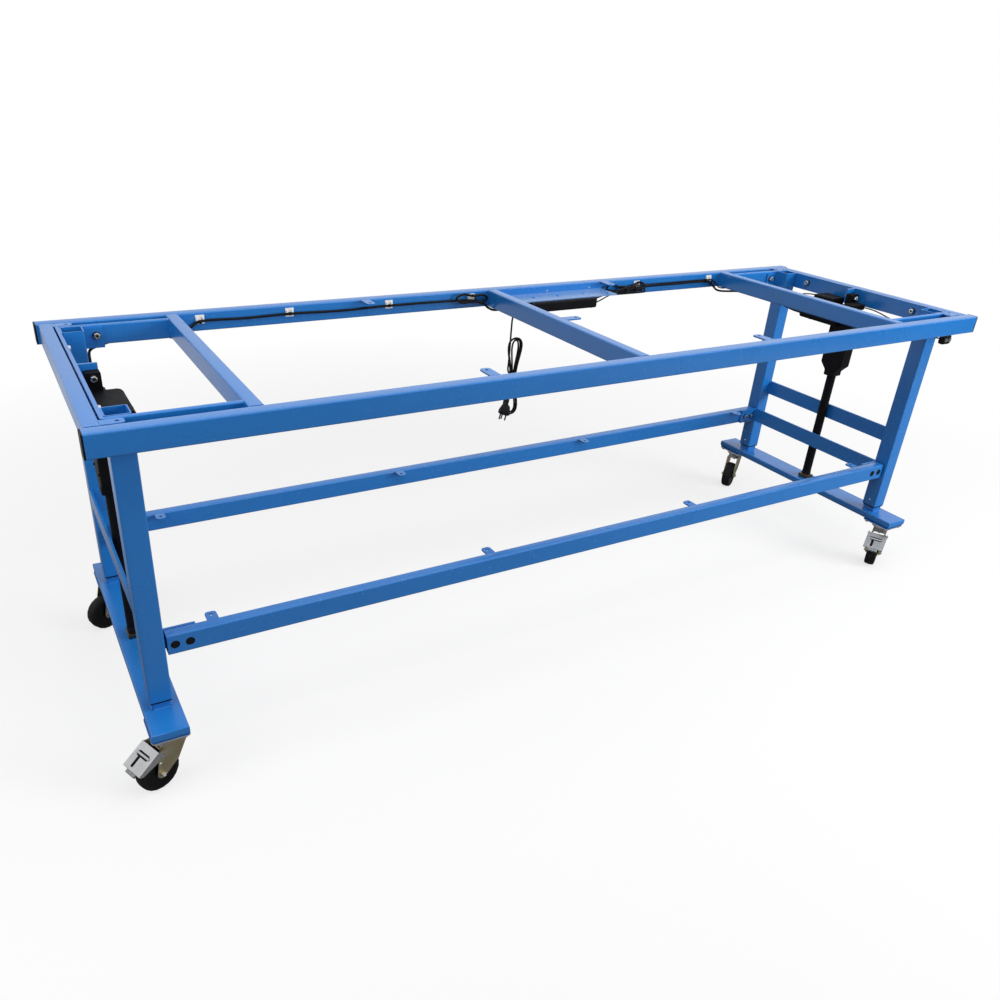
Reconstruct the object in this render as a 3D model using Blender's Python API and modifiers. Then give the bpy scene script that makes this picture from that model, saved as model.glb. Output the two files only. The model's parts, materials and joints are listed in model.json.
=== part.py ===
"""Powered assembly table frame on casters, without its worktop.

A top frame of rectangular tube is carried by two leg frames. Each leg frame has two telescopic legs,
an actuator between them, and a foot beam on two swivel casters. The table stands at its lowest height,
with the floor at z = 0, its length along X and its front towards -Y. All sizes are metres.
"""

import math

import bmesh
import bpy
from mathutils import Matrix, Vector

# Overall sizes
TABLE_LENGTH = 2.580
TABLE_DEPTH = 0.800
TABLE_HEIGHT = 0.872

# Gaps
TOUCH_GAP = 0.0003
RUN_GAP = 0.0004
SLIDE_GAP = 0.0015
WELD_DISTANCE = 0.00001

# Top frame tube
TUBE_HEIGHT = 0.050
RAIL_WIDTH = 0.035
CROSS_WIDTH = 0.031
TUBE_WALL = 0.0025
TUBE_CORNER = 0.004
END_RAIL_INSET = 0.005
END_BAY = 0.3005
CAP_PROUD = 0.0035
CAP_INSERT = 0.018

# Tabs that take the worktop and the shelf
TAB_THICKNESS = 0.004
TAB_WIDTH = 0.026
TAB_CORNER = 0.007
TAB_HOLE = 0.009
TAB_DROP = 0.0005
WORKTOP_TAB_X = 0.428
WORKTOP_TAB_LENGTH = 0.051
CORNER_TAB_LENGTH = 0.043
SHELF_TAB_LENGTH = 0.031
INNER_SHELF_TAB_X = 0.352
OUTER_SHELF_TAB_INSET = 0.1147

# Leg frames
HEAD_GAP = 0.003
HEAD_BAR_THICKNESS = 0.008
HEAD_BAR_CORNER = 0.006
SIDE_GAP = 0.0305
SIDE_BAR_THICKNESS = 0.013
SIDE_BAR_WALL = 0.002
LEG_SIZE = 0.050
LEG_WALL = 0.0025
LEG_ABOVE_FOOT = 0.022
INNER_LEG_BELOW_TOP = 0.070
FLANGE_REACH = 0.047
FLANGE_THICKNESS = 0.005
FLANGE_HEIGHT = 0.050
FLANGE_BELOW_TOP = 0.006
FLANGE_BOLT_REACH = 0.031
BOLT_HOLE = 0.0105
END_BAR_HEIGHT = 0.050
END_BAR_THICKNESS = 0.006
UPPER_BAR_ABOVE_FOOT = 0.263
LOWER_BEAM_ABOVE_FOOT = 0.156
BEAM_WIDTH = 0.030
BEAM_HEIGHT = 0.050
BEAM_END_GAP = 0.006
BEAM_FLANGE_REACH = 0.075
BEAM_FLANGE_THICKNESS = 0.006
ACCESS_HOLE = 0.021
ACCESS_HOLE_REACH = (0.0225, 0.055)

# Foot beams
FOOT_LENGTH = 0.806
FOOT_WIDTH = 0.081
FOOT_HEIGHT = 0.024
FOOT_LOWER_ROUND = 0.009
FOOT_UPPER_ROUND = 0.003

# Casters
CASTER_INSET = 0.051
CASTER_TRAIL = 0.038
CASTER_PLATE = (0.098, 0.084, 0.0035)
CASTER_PLATE_CORNER = 0.008
SWIVEL_TURN = {"front_left": 22.0, "front_right": 28.0, "back_left": 25.0, "back_right": 29.0}
WHEEL_RADIUS = 0.050
TREAD_WIDTH = 0.031
TREAD_CROWN = 0.0016
HUB_WIDTH = 0.034
RIM_DEPTH = 0.013
RIM_RECESS = 0.002
TREAD_SHOULDER = 0.0035
HUB_WALL = 0.007
HUB_SLOPE = 0.003
AXLE_DIAMETER = 0.010
AXLE_HEAD = (0.015, 0.004)
FORK_GAP = 0.037
FORK_SHEET = 0.003
FORK_ABOVE_WHEEL = 0.024
SWIVEL_HEAD_HEIGHT = 0.026
FORK_FRONT_REACH = 0.031
FORK_REAR_REACH = 0.034
FORK_EYE_RADIUS = 0.012
FORK_EYE_ARC = (-125, 20)
CHEEK_REAR = (0.004, 0.030)
CHEEK_FRONT_DROP = 0.014
CHEEK_WAIST = (-0.044, 0.017)
CHEEK_HOLE = 0.0045
CHEEK_HOLES = ((-0.0015, 0.042), (0.001, 0.029))
RACE_DIAMETER = 0.060
RACE_ROUND = 0.004
RACE_RIM = 0.008
RACE_TAPER = 0.009
PEDAL_PIVOT_REACH = 0.031
PEDAL_PIVOT_DROP = 0.014
PEDAL_PIN = 0.006
PEDAL_PIN_PROUD = 0.002
PEDAL_EYE_WALL = 0.004
PEDAL_SLOPE = 33.0
PEDAL_WIDTH = 0.062
PEDAL_BACK = 0.006
PEDAL_LENGTH = 0.064
PEDAL_RISE = 0.0165
PEDAL_SHEET = 0.003
PEDAL_SIDE = 0.011
PEDAL_SIDE_NOSE = (0.006, 0.001)
PEDAL_SLOT = (0.013, 0.038)
PEDAL_SLOT_REACH = 0.024
PEDAL_STEM = (0.020, 0.008)
PEDAL_STEM_SHIFT = -0.008
PEDAL_SLOT_CORNER = 0.002
PEDAL_ROLLER = 0.008
PEDAL_ROLLER_ROOT = 0.003
TONGUE_SIZE = (0.0085, 0.032, 0.007)
TONGUE_ROOT = 0.006
TONGUE_DROP = 0.001
TONGUE_ROUND = 0.002

# Actuators
EYE_BELOW_TOP = 0.027
EYE_WIDTH = 0.032
EYE_ABOVE_BOLT = 0.0125
EYE_CORNER = 0.003
EYE_THICKNESS = 0.024
EYE_BOLT = 0.010
BRACKET_THICKNESS = 0.006
BRACKET_HEIGHT = 0.046
BRACKET_REACH = 0.040
GEAR_CASE_WIDTH = 0.086
GEAR_CASE_DEPTH = 0.046
GEAR_CASE_BELOW_EYE = 0.030
GEAR_CASE_HEIGHT = 0.225
GEAR_CASE_TAPER = 0.022
GEAR_CROWN_WIDTH = 0.048
GEAR_COLLAR_WIDTH = 0.040
GEAR_COLLAR_DROP = 0.018
GEAR_CASE_ROUND = 0.005
MOTOR_SIZE = (0.080, 0.068)
MOTOR_CORNER = 0.014
MOTOR_OFFSET = 0.0187
MOTOR_BELOW_EYE = 0.063
MOTOR_START = 0.004
MOTOR_REACH = 0.153
MOTOR_ROUND = 0.006
MOTOR_GLAND = 0.0042
MOTOR_GLAND_PLACE = (0.015, 0.024)
GUIDE_TUBE = 0.030
GUIDE_WALL = 0.0035
GUIDE_ABOVE_FOOT = 0.016
GUIDE_BELOW_EYE = 0.145
ROD_BELOW_GUIDE = 0.050
ROD_SEAT = (0.034, 0.040, 0.013)
ROD_SEAT_ROUND = 0.002

# Control box, plate and handset
PLATE_BELOW_TOP = 0.023
PLATE_THICKNESS = 0.003
PLATE_DEPTH = 0.091
PLATE_END_X = 0.420
PLATE_RAIL_GAP = 0.006
PLATE_CORNER = 0.004
BOX_START_X = 0.085
BOX_LENGTH = 0.250
BOX_DEPTH = 0.094
BOX_HEIGHT = 0.032
BOX_WALL_GAP = 0.006
BOX_ROUND = 0.006
GLAND_LENGTH = 0.0082
GLAND_SLEEVE = 0.005
LEFT_LEAD_GLAND = (0.027, 0.0182)
RIGHT_LEAD_GLAND = (0.033, 0.0212)
HANDSET_GLAND = (0.059, 0.0232)
MAINS_GLAND = (0.072, 0.0162)
HANDSET_INSET = 0.1062
HANDSET_SIZE = (0.038, 0.020, 0.029)
HANDSET_SETBACK = 0.006
HANDSET_ROUND = 0.006
BUTTON_SIZE = (0.012, 0.010)
BUTTON_SPACING = 0.017
BUTTON_PROUD = 0.002
BUTTON_TRAVEL = 0.0015
BUTTON_POCKET = 0.006
BUTTON_CORNER = 0.002

# Leads
MOTOR_LEAD = 0.007
HANDSET_LEAD = 0.004
MAINS_LEAD = 0.0055
LEAD_ROUNDNESS = 1
HANK_CENTRE = (0.036, 0.270, 0.618)
HANK_HALF_HEIGHT = 0.127
HANK_WAIST = 0.0115
HANK_TOP_LOBE = 0.050
HANK_BOTTOM_LOBE = 0.048
HANK_PITCH = 0.0066
HANK_TURNS = 3
HANK_CLIMB = 0.3
HANK_NEST = 0.35
HANK_TAIL = ((-0.0010, -0.0024, -0.014), (-0.0032, -0.0070, -0.030), (-0.0060, -0.0118, -0.048),
             (-0.0085, -0.0147, -0.0573), (-0.0120, -0.0172, -0.064))
HANK_POINTS_PER_TURN = 24
HANK_LEAST_GAP = 0.0004
PLUG_DIAMETER = 0.037
PLUG_LENGTH = 0.034
PLUG_NECK = (0.009, 0.016)
PLUG_ROUND = 0.002
PLUG_GRIP = 0.012
PLUG_SHOULDER = (0.013, 0.006)
PLUG_NECK_FLARE = 0.001
PIN_SIZE = (0.0048, 0.019)
PIN_ROOT = 0.002
PIN_SPACING = 0.019
EARTH_PIN_OFFSET = 0.009

# Places worked out from the sizes above
RAIL_X = TABLE_LENGTH / 2
RAIL_Y = (TABLE_DEPTH - RAIL_WIDTH) / 2
RAIL_INNER = TABLE_DEPTH / 2 - RAIL_WIDTH
TUBE_Z = TABLE_HEIGHT - TUBE_HEIGHT / 2
FRAME_BOTTOM = TABLE_HEIGHT - TUBE_HEIGHT
END_RAIL_X = RAIL_X - END_RAIL_INSET - CROSS_WIDTH / 2
CROSS_RAIL_X = END_RAIL_X - END_BAY
HEAD_BAR_OUTER = END_RAIL_X - CROSS_WIDTH / 2 - HEAD_GAP
HEAD_BAR_INNER = HEAD_BAR_OUTER - HEAD_BAR_THICKNESS
LEG_X = HEAD_BAR_INNER - TOUCH_GAP - LEG_SIZE / 2
LEG_INNER_X = LEG_X - LEG_SIZE / 2
SIDE_BAR_OUTER = RAIL_INNER - SIDE_GAP
SIDE_BAR_INNER = SIDE_BAR_OUTER - SIDE_BAR_THICKNESS
LEG_Y = SIDE_BAR_INNER - TOUCH_GAP - LEG_SIZE / 2
INNER_LEG_SIZE = LEG_SIZE - 2 * (LEG_WALL + SLIDE_GAP)
FORK_SHOULDER_Z = 2 * WHEEL_RADIUS + FORK_ABOVE_WHEEL
CASTER_HEIGHT = FORK_SHOULDER_Z + SWIVEL_HEAD_HEIGHT
PEDAL_PIVOT_Z = FORK_SHOULDER_Z - PEDAL_PIVOT_DROP
FOOT_TOP = CASTER_HEIGHT + FOOT_HEIGHT
UPPER_BAR_Z = FOOT_TOP + UPPER_BAR_ABOVE_FOOT
LOWER_BEAM_Z = FOOT_TOP + LOWER_BEAM_ABOVE_FOOT
CASTER_Y = FOOT_LENGTH / 2 - CASTER_INSET
EYE_Z = TABLE_HEIGHT - EYE_BELOW_TOP
GEAR_CASE_TOP = EYE_Z - GEAR_CASE_BELOW_EYE
GEAR_CASE_BOTTOM = GEAR_CASE_TOP - GEAR_CASE_HEIGHT
MOTOR_Z = EYE_Z - MOTOR_BELOW_EYE
GUIDE_TOP = EYE_Z - GUIDE_BELOW_EYE
GUIDE_BORE = GUIDE_TUBE - 2 * GUIDE_WALL
ROD_DIAMETER = GUIDE_BORE - 2 * SLIDE_GAP
TAB_Z = TABLE_HEIGHT - TAB_DROP - TAB_THICKNESS / 2
CORNER_TAB_Y = (RAIL_INNER + SIDE_BAR_OUTER) / 2
PLATE_Z = TABLE_HEIGHT - PLATE_BELOW_TOP
PLATE_START_X = CROSS_WIDTH / 2 + PLATE_RAIL_GAP
BOX_TOP = PLATE_Z - PLATE_THICKNESS / 2 - TOUCH_GAP
BOX_BACK = RAIL_INNER - BOX_WALL_GAP
BOX_END_X = BOX_START_X + BOX_LENGTH
HANDSET_X = RAIL_X - HANDSET_INSET

SIDES = {"left": -1, "right": 1}
FACES = {"front": -1, "back": 1}

# Finishes: colour, metallic, roughness
BLUE_PAINT = ((0.035, 0.150, 0.480), 0.0, 0.38)
ZINC = ((0.62, 0.61, 0.57), 0.9, 0.35)
STEEL = ((0.70, 0.70, 0.70), 1.0, 0.22)
BLACK_PLASTIC = ((0.015, 0.015, 0.017), 0.0, 0.45)
BLACK_RUBBER = ((0.022, 0.022, 0.024), 0.0, 0.75)
BLACK_CABLE = ((0.018, 0.018, 0.019), 0.0, 0.55)
GREY_PLASTIC = ((0.30, 0.30, 0.31), 0.0, 0.50)

AXIS_TURNS = {
    "X": (math.pi / 2, 0.0, math.pi / 2),
    "Y": (math.pi / 2, 0.0, 0.0),
    "Z": (0.0, 0.0, 0.0),
}


def clear_scene():
    for item in list(bpy.data.objects):
        bpy.data.objects.remove(item, do_unlink=True)


def make_collection(name):
    collection = bpy.data.collections.new(name)
    bpy.context.scene.collection.children.link(collection)
    return collection


clear_scene()
PARTS = make_collection("assembly_table")
CUTTERS = make_collection("assembly_table_cutters")


def evaluated_mesh(item):
    """Return the item's mesh with its modifiers applied, welded and facing out."""
    bpy.context.view_layer.update()
    depsgraph = bpy.context.evaluated_depsgraph_get()
    mesh = bpy.data.meshes.new_from_object(item.evaluated_get(depsgraph))
    shape = bmesh.new()
    shape.from_mesh(mesh)
    bmesh.ops.remove_doubles(shape, verts=shape.verts, dist=WELD_DISTANCE)
    bmesh.ops.recalc_face_normals(shape, faces=shape.faces)
    shape.to_mesh(mesh)
    shape.free()
    return mesh


def new_object(name, data, location=(0, 0, 0), rotation=(0, 0, 0)):
    item = bpy.data.objects.new(name, data)
    item.location = location
    item.rotation_euler = rotation
    PARTS.objects.link(item)
    return item


def bake(item):
    """Replace the item's mesh by its evaluated one about the origin, and drop modifiers and cutters."""
    mesh = evaluated_mesh(item)
    mesh.transform(item.matrix_world)
    item.matrix_world = Matrix.Identity(4)
    operands = [modifier.object for modifier in item.modifiers if modifier.type == "BOOLEAN"]
    item.modifiers.clear()
    item.data = mesh
    for operand in operands:
        bpy.data.objects.remove(operand, do_unlink=True)
    return item


def boolean(item, operand, operation):
    """Join the operand to the item, or cut it out, and keep the operand as a hidden guide."""
    modifier = item.modifiers.new(operand.name, "BOOLEAN")
    modifier.operation = operation
    modifier.solver = "EXACT"
    modifier.object = operand
    PARTS.objects.unlink(operand)
    CUTTERS.objects.link(operand)
    operand.hide_render = True
    operand.display_type = "WIRE"


def join(item, *operands):
    for operand in operands:
        boolean(item, operand, "UNION")
    return item


def cut(item, *operands):
    for operand in operands:
        boolean(item, operand, "DIFFERENCE")
    return item


def finish(item, look):
    """Give the item its own material and smooth its round faces."""
    colour, metallic, roughness = look
    material = bpy.data.materials.new(item.name)
    material.use_nodes = True
    shader = material.node_tree.nodes["Principled BSDF"]
    shader.inputs["Base Color"].default_value = (*colour, 1.0)
    shader.inputs["Metallic"].default_value = metallic
    shader.inputs["Roughness"].default_value = roughness
    item.data.materials.clear()
    item.data.materials.append(material)
    if item.type == "MESH":
        item.data.shade_smooth()
        item.data.set_sharp_from_angle(angle=math.radians(32))
    return item


def arc(centre, radius, start, end, steps):
    """Return points on an arc, angles in degrees."""
    points = []
    for step in range(steps + 1):
        angle = math.radians(start + (end - start) * step / steps)
        points.append((centre[0] + radius * math.cos(angle), centre[1] + radius * math.sin(angle)))
    return points


def circle(diameter, steps, centre=(0, 0)):
    return arc(centre, diameter / 2, 0, 360 * (steps - 1) / steps, steps - 1)


def rounded_rectangle(width, height, radius, steps=3):
    across, up = width / 2 - radius, height / 2 - radius
    points = arc((across, up), radius, 0, 90, steps)
    points += arc((-across, up), radius, 90, 180, steps)
    points += arc((-across, -up), radius, 180, 270, steps)
    points += arc((across, -up), radius, 270, 360, steps)
    return points


def extrusion(name, outlines, length, axis="Z", centre=(0, 0, 0), fill="BOTH"):
    """Extrude closed outlines along an axis; an outline inside another is a hole.

    The outline's own X and Y lie along Y and Z for axis X, along X and Z for axis Y.
    """
    curve = bpy.data.curves.new(name, "CURVE")
    curve.dimensions = "2D"
    curve.fill_mode = fill
    curve.extrude = length / 2
    for outline in outlines:
        spline = curve.splines.new("POLY")
        spline.points.add(len(outline) - 1)
        for point, (across, up) in zip(spline.points, outline):
            point.co = (across, up, 0, 1)
        spline.use_cyclic_u = True
    guide = new_object(name, curve)
    mesh = evaluated_mesh(guide)
    bpy.data.objects.remove(guide, do_unlink=True)
    return new_object(name, mesh, centre, AXIS_TURNS[axis])


def box(name, size, centre=(0, 0, 0)):
    shape = bmesh.new()
    bmesh.ops.create_cube(shape, size=1.0, matrix=Matrix.Diagonal((*size, 1.0)))
    mesh = bpy.data.meshes.new(name)
    shape.to_mesh(mesh)
    shape.free()
    return new_object(name, mesh, centre)


def cylinder(name, diameter, length, axis="Z", centre=(0, 0, 0), steps=24):
    shape = bmesh.new()
    bmesh.ops.create_cone(shape, cap_ends=True, segments=steps, radius1=diameter / 2,
                          radius2=diameter / 2, depth=length)
    mesh = bpy.data.meshes.new(name)
    shape.to_mesh(mesh)
    shape.free()
    return new_object(name, mesh, centre, AXIS_TURNS[axis])


def turned(name, profile, steps):
    """Turn a profile of (radius, height) points about Z."""
    mesh = bpy.data.meshes.new(name)
    points = [(radius, 0, height) for radius, height in profile]
    closed = profile[0][0] > 0
    edges = [(index, index + 1) for index in range(len(points) - 1)]
    if closed:
        edges.append((len(points) - 1, 0))
    mesh.from_pydata(points, edges, [])
    item = new_object(name, mesh)
    screw = item.modifiers.new("turn", "SCREW")
    screw.steps = steps
    screw.render_steps = steps
    screw.use_merge_vertices = True
    screw.merge_threshold = 0.00001
    return bake(item)


def round_edges(item, width, segments=2, angle=40):
    bevel = item.modifiers.new("round", "BEVEL")
    bevel.width = width
    bevel.segments = segments
    bevel.limit_method = "ANGLE"
    bevel.angle_limit = math.radians(angle)
    return item


def copy_of(item, name, look):
    twin = item.copy()
    twin.data = item.data.copy()
    twin.name = name
    PARTS.objects.link(twin)
    return finish(twin, look)


def hollow_tube(name, width, height, wall, length, axis, centre):
    """Rectangular tube with open ends: an extruded skin, thickened inwards."""
    item = extrusion(name, [rounded_rectangle(width, height, TUBE_CORNER, 2)], length, axis, centre, "NONE")
    shell = item.modifiers.new("wall", "SOLIDIFY")
    shell.thickness = wall
    shell.offset = -1
    shell.use_even_offset = True
    return item


def tab(name, length, root, turn):
    """A flat tab with rounded tip corners and a screw hole, from its root along the turned +X."""
    tip = length - TAB_CORNER
    side = TAB_WIDTH / 2 - TAB_CORNER
    sunk = TUBE_WALL / 2
    outline = [(-sunk, -TAB_WIDTH / 2)]
    outline += arc((tip, -side), TAB_CORNER, -90, 0, 2)
    outline += arc((tip, side), TAB_CORNER, 0, 90, 2)
    outline += [(-sunk, TAB_WIDTH / 2)]
    hole = circle(TAB_HOLE, 8, (length - TAB_WIDTH / 2, 0))
    item = extrusion(name, [outline, hole], TAB_THICKNESS, "Z", root)
    item.rotation_euler = (0, 0, math.radians(turn))
    return item


def long_rails():
    for face, sign in FACES.items():
        rail = hollow_tube(f"{face}_rail", RAIL_WIDTH, TUBE_HEIGHT, TUBE_WALL, TABLE_LENGTH, "X",
                           (0, sign * RAIL_Y, TUBE_Z))
        for side, way in SIDES.items():
            root = (way * WORKTOP_TAB_X, sign * RAIL_INNER, TAB_Z)
            join(rail, tab(f"{face}_{side}_worktop_tab", WORKTOP_TAB_LENGTH, root, -90 * sign))
        finish(rail, BLUE_PAINT)


def end_caps():
    flange = rounded_rectangle(RAIL_WIDTH, TUBE_HEIGHT, TUBE_CORNER)
    slack = 2 * (TUBE_WALL + TOUCH_GAP)
    insert = rounded_rectangle(RAIL_WIDTH - slack, TUBE_HEIGHT - slack, TUBE_CORNER - TUBE_WALL, 2)
    for face, sign in FACES.items():
        for side, way in SIDES.items():
            name = f"{face}_{side}_end_cap"
            start = RAIL_X + TOUCH_GAP
            cap = extrusion(name, [flange], CAP_PROUD, "X",
                            (way * (start + CAP_PROUD / 2), sign * RAIL_Y, TUBE_Z))
            length = CAP_INSERT + CAP_PROUD / 2
            core = extrusion(f"{name}_insert", [insert], length, "X",
                             (way * (start + CAP_PROUD / 2 - length / 2), sign * RAIL_Y, TUBE_Z))
            finish(join(cap, core), BLACK_PLASTIC)


def cross_members():
    """End rails with corner tabs, and three cross rails, between the long rails."""
    length = 2 * (RAIL_INNER - TOUCH_GAP)
    for side, way in SIDES.items():
        rail = hollow_tube(f"{side}_end_rail", CROSS_WIDTH, TUBE_HEIGHT, TUBE_WALL, length, "Y",
                           (way * END_RAIL_X, 0, TUBE_Z))
        for face, sign in FACES.items():
            root = (way * (END_RAIL_X - CROSS_WIDTH / 2), sign * CORNER_TAB_Y, TAB_Z)
            join(rail, tab(f"{face}_{side}_corner_tab", CORNER_TAB_LENGTH, root, 90 + 90 * way))
        finish(rail, BLUE_PAINT)
    for name, place in (("left", -CROSS_RAIL_X), ("middle", 0), ("right", CROSS_RAIL_X)):
        rail = hollow_tube(f"{name}_cross_rail", CROSS_WIDTH, TUBE_HEIGHT, TUBE_WALL, length, "Y",
                           (place, 0, TUBE_Z))
        if name == "middle":
            join(rail, tab("middle_worktop_tab", WORKTOP_TAB_LENGTH, (CROSS_WIDTH / 2, 0, TAB_Z), 0))
        finish(rail, BLUE_PAINT)


def head_bars():
    """Flat bar across each leg frame's top, with the bracket of the actuator's upper eye."""
    half = SIDE_BAR_OUTER
    for side, way in SIDES.items():
        corner = HEAD_BAR_CORNER
        outline = [(0, -half)] + arc((HEAD_BAR_THICKNESS - corner, corner - half), corner, -90, 0, 4)
        outline += arc((HEAD_BAR_THICKNESS - corner, half - corner), corner, 0, 90, 4) + [(0, half)]
        outline = [(way * across, along) for across, along in outline]
        bar = extrusion(f"{side}_head_bar", [outline], TUBE_HEIGHT, "Z", (way * HEAD_BAR_INNER, 0, TUBE_Z))
        sunk = HEAD_BAR_THICKNESS / 2
        plate_y = EYE_THICKNESS / 2 + TOUCH_GAP + BRACKET_THICKNESS / 2
        plate_x = HEAD_BAR_INNER + sunk - (BRACKET_REACH + sunk) / 2
        plate_z = TABLE_HEIGHT - TAB_DROP - BRACKET_HEIGHT / 2
        plate = box(f"{side}_bracket", (BRACKET_REACH + sunk, BRACKET_THICKNESS, BRACKET_HEIGHT),
                    (way * plate_x, plate_y, plate_z))
        hole = cylinder(f"{side}_bracket_hole", BOLT_HOLE, 3 * BRACKET_THICKNESS, "Y",
                        (way * LEG_X, plate_y, EYE_Z), 16)
        finish(cut(join(bar, plate), hole), BLUE_PAINT)


def flange_hole(name, way, sign):
    """Bolt hole through a leg's top flange and the side bar beside it."""
    place = (way * (LEG_INNER_X - FLANGE_BOLT_REACH), sign * SIDE_BAR_INNER, TUBE_Z)
    return cylinder(name, BOLT_HOLE, 4 * SIDE_BAR_THICKNESS, "Y", place, 10)


def side_bars():
    outer = HEAD_BAR_INNER - TOUCH_GAP
    inner = CROSS_RAIL_X + CROSS_WIDTH / 2 + TOUCH_GAP
    middle = SIDE_BAR_OUTER - SIDE_BAR_THICKNESS / 2
    for face, sign in FACES.items():
        for side, way in SIDES.items():
            name = f"{face}_{side}_side_bar"
            bar = hollow_tube(name, SIDE_BAR_THICKNESS, TUBE_HEIGHT, SIDE_BAR_WALL, outer - inner, "X",
                              (way * (outer + inner) / 2, sign * middle, TUBE_Z))
            finish(cut(bar, flange_hole(f"{name}_hole", way, sign)), BLUE_PAINT)


def outer_legs():
    bottom = FOOT_TOP + LEG_ABOVE_FOOT
    for face, sign in FACES.items():
        for side, way in SIDES.items():
            name = f"{face}_{side}_outer_leg"
            leg = hollow_tube(name, LEG_SIZE, LEG_SIZE, LEG_WALL, TABLE_HEIGHT - bottom, "Z",
                              (way * LEG_X, sign * LEG_Y, (TABLE_HEIGHT + bottom) / 2))
            sunk = LEG_WALL / 2
            reach = FLANGE_REACH + sunk
            top_flange = box(f"{name}_top_flange", (reach, FLANGE_THICKNESS, FLANGE_HEIGHT),
                             (way * (LEG_INNER_X + sunk - reach / 2),
                              sign * (SIDE_BAR_INNER - TOUCH_GAP - FLANGE_THICKNESS / 2),
                              TABLE_HEIGHT - FLANGE_BELOW_TOP - FLANGE_HEIGHT / 2))
            reach = BEAM_FLANGE_REACH + sunk
            beam_inner = LEG_Y - BEAM_WIDTH / 2 - TOUCH_GAP
            beam_flange = box(f"{name}_beam_flange", (reach, BEAM_FLANGE_THICKNESS, BEAM_HEIGHT),
                              (way * (LEG_INNER_X + sunk - reach / 2),
                               sign * (beam_inner - BEAM_FLANGE_THICKNESS / 2), LOWER_BEAM_Z))
            join(leg, top_flange, beam_flange)
            finish(cut(leg, flange_hole(f"{name}_hole", way, sign)), BLUE_PAINT)


def end_bars():
    """Two flat bars between the legs of each leg frame, one flush outside and one flush inside."""
    length = 2 * (LEG_Y - LEG_SIZE / 2 - TOUCH_GAP)
    size = (END_BAR_THICKNESS, length, END_BAR_HEIGHT)
    offset = (LEG_SIZE - END_BAR_THICKNESS) / 2
    for side, way in SIDES.items():
        for name, inset, height in (("upper", offset, UPPER_BAR_Z), ("lower", -offset, LOWER_BEAM_Z)):
            finish(box(f"{side}_{name}_end_bar", size, (way * (LEG_X + inset), 0, height)), BLUE_PAINT)


def lower_beams():
    """Beams between the leg frames, with shelf tabs inside and bolt access holes outside."""
    half = LEG_INNER_X - BEAM_END_GAP
    tab_z = LOWER_BEAM_Z + BEAM_HEIGHT / 2 - TAB_DROP - TAB_THICKNESS / 2
    for face, sign in FACES.items():
        beam = hollow_tube(f"{face}_lower_beam", BEAM_WIDTH, BEAM_HEIGHT, TUBE_WALL, 2 * half, "X",
                           (0, sign * LEG_Y, LOWER_BEAM_Z))
        for side, way in SIDES.items():
            for number, place in enumerate((INNER_SHELF_TAB_X, LEG_INNER_X - OUTER_SHELF_TAB_INSET), 1):
                root = (way * place, sign * (LEG_Y - BEAM_WIDTH / 2), tab_z)
                join(beam, tab(f"{face}_{side}_shelf_tab_{number}", SHELF_TAB_LENGTH, root, -90 * sign))
            for number, reach in enumerate(ACCESS_HOLE_REACH, 1):
                place = (way * (LEG_INNER_X - reach), sign * (LEG_Y + BEAM_WIDTH / 2), LOWER_BEAM_Z)
                name = f"{face}_{side}_access_{number}"
                cut(beam, cylinder(name, ACCESS_HOLE, 4 * TUBE_WALL, "Y", place, 12))
        finish(beam, BLUE_PAINT)


def foot_beam(name, way):
    """Closed foot beam with round lower edges and the top plates of its two casters."""
    foot = box(name, (FOOT_WIDTH, FOOT_LENGTH, FOOT_HEIGHT))
    shape = bmesh.new()
    shape.from_mesh(foot.data)
    lower = [edge for edge in shape.edges if all(corner.co.z < 0 for corner in edge.verts)]
    upper = [edge for edge in shape.edges if all(corner.co.z > 0 for corner in edge.verts)]
    for edges, radius, segments in ((lower, FOOT_LOWER_ROUND, 4), (upper, FOOT_UPPER_ROUND, 2)):
        bmesh.ops.bevel(shape, geom=edges, offset=radius, offset_type="OFFSET", segments=segments,
                        profile=0.5, affect="EDGES")
    shape.to_mesh(foot.data)
    shape.free()
    foot.location = (way * LEG_X, 0, CASTER_HEIGHT + FOOT_HEIGHT / 2)
    length, width, thickness = CASTER_PLATE
    sunk = thickness / 4
    for face, sign in FACES.items():
        outline = rounded_rectangle(width, length, CASTER_PLATE_CORNER, 3)
        plate = extrusion(f"{name}_{face}_plate", [outline], thickness + sunk, "Z",
                          (way * LEG_X, sign * CASTER_Y, CASTER_HEIGHT + (sunk - thickness) / 2))
        join(foot, plate)
    return foot


def lift_bases():
    """The pieces of each leg frame that stay on the floor: foot, inner legs and actuator rod."""
    bottom = FOOT_TOP + TOUCH_GAP
    top = TABLE_HEIGHT - INNER_LEG_BELOW_TOP
    for side, way in SIDES.items():
        base = bpy.data.objects.new(f"{side}_base_slide", None)
        PARTS.objects.link(base)
        foot = finish(foot_beam(f"{side}_foot", way), BLUE_PAINT)
        foot.parent = base
        for face, sign in FACES.items():
            leg = hollow_tube(f"{face}_{side}_inner_leg", INNER_LEG_SIZE, INNER_LEG_SIZE, LEG_WALL,
                              top - bottom, "Z", (way * LEG_X, sign * LEG_Y, (top + bottom) / 2))
            finish(leg, BLUE_PAINT).parent = base
        rod_top = GUIDE_TOP - ROD_BELOW_GUIDE
        seat_z = bottom + ROD_SEAT[2] / 2
        seat = box(f"{side}_actuator_rod", ROD_SEAT, (way * LEG_X, 0, seat_z))
        round_edges(seat, ROD_SEAT_ROUND)
        rod = cylinder(f"{side}_rod_shaft", ROD_DIAMETER, rod_top - seat_z, "Z",
                       (way * LEG_X, 0, (rod_top + seat_z) / 2), 20)
        finish(join(seat, rod), STEEL).parent = base


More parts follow.
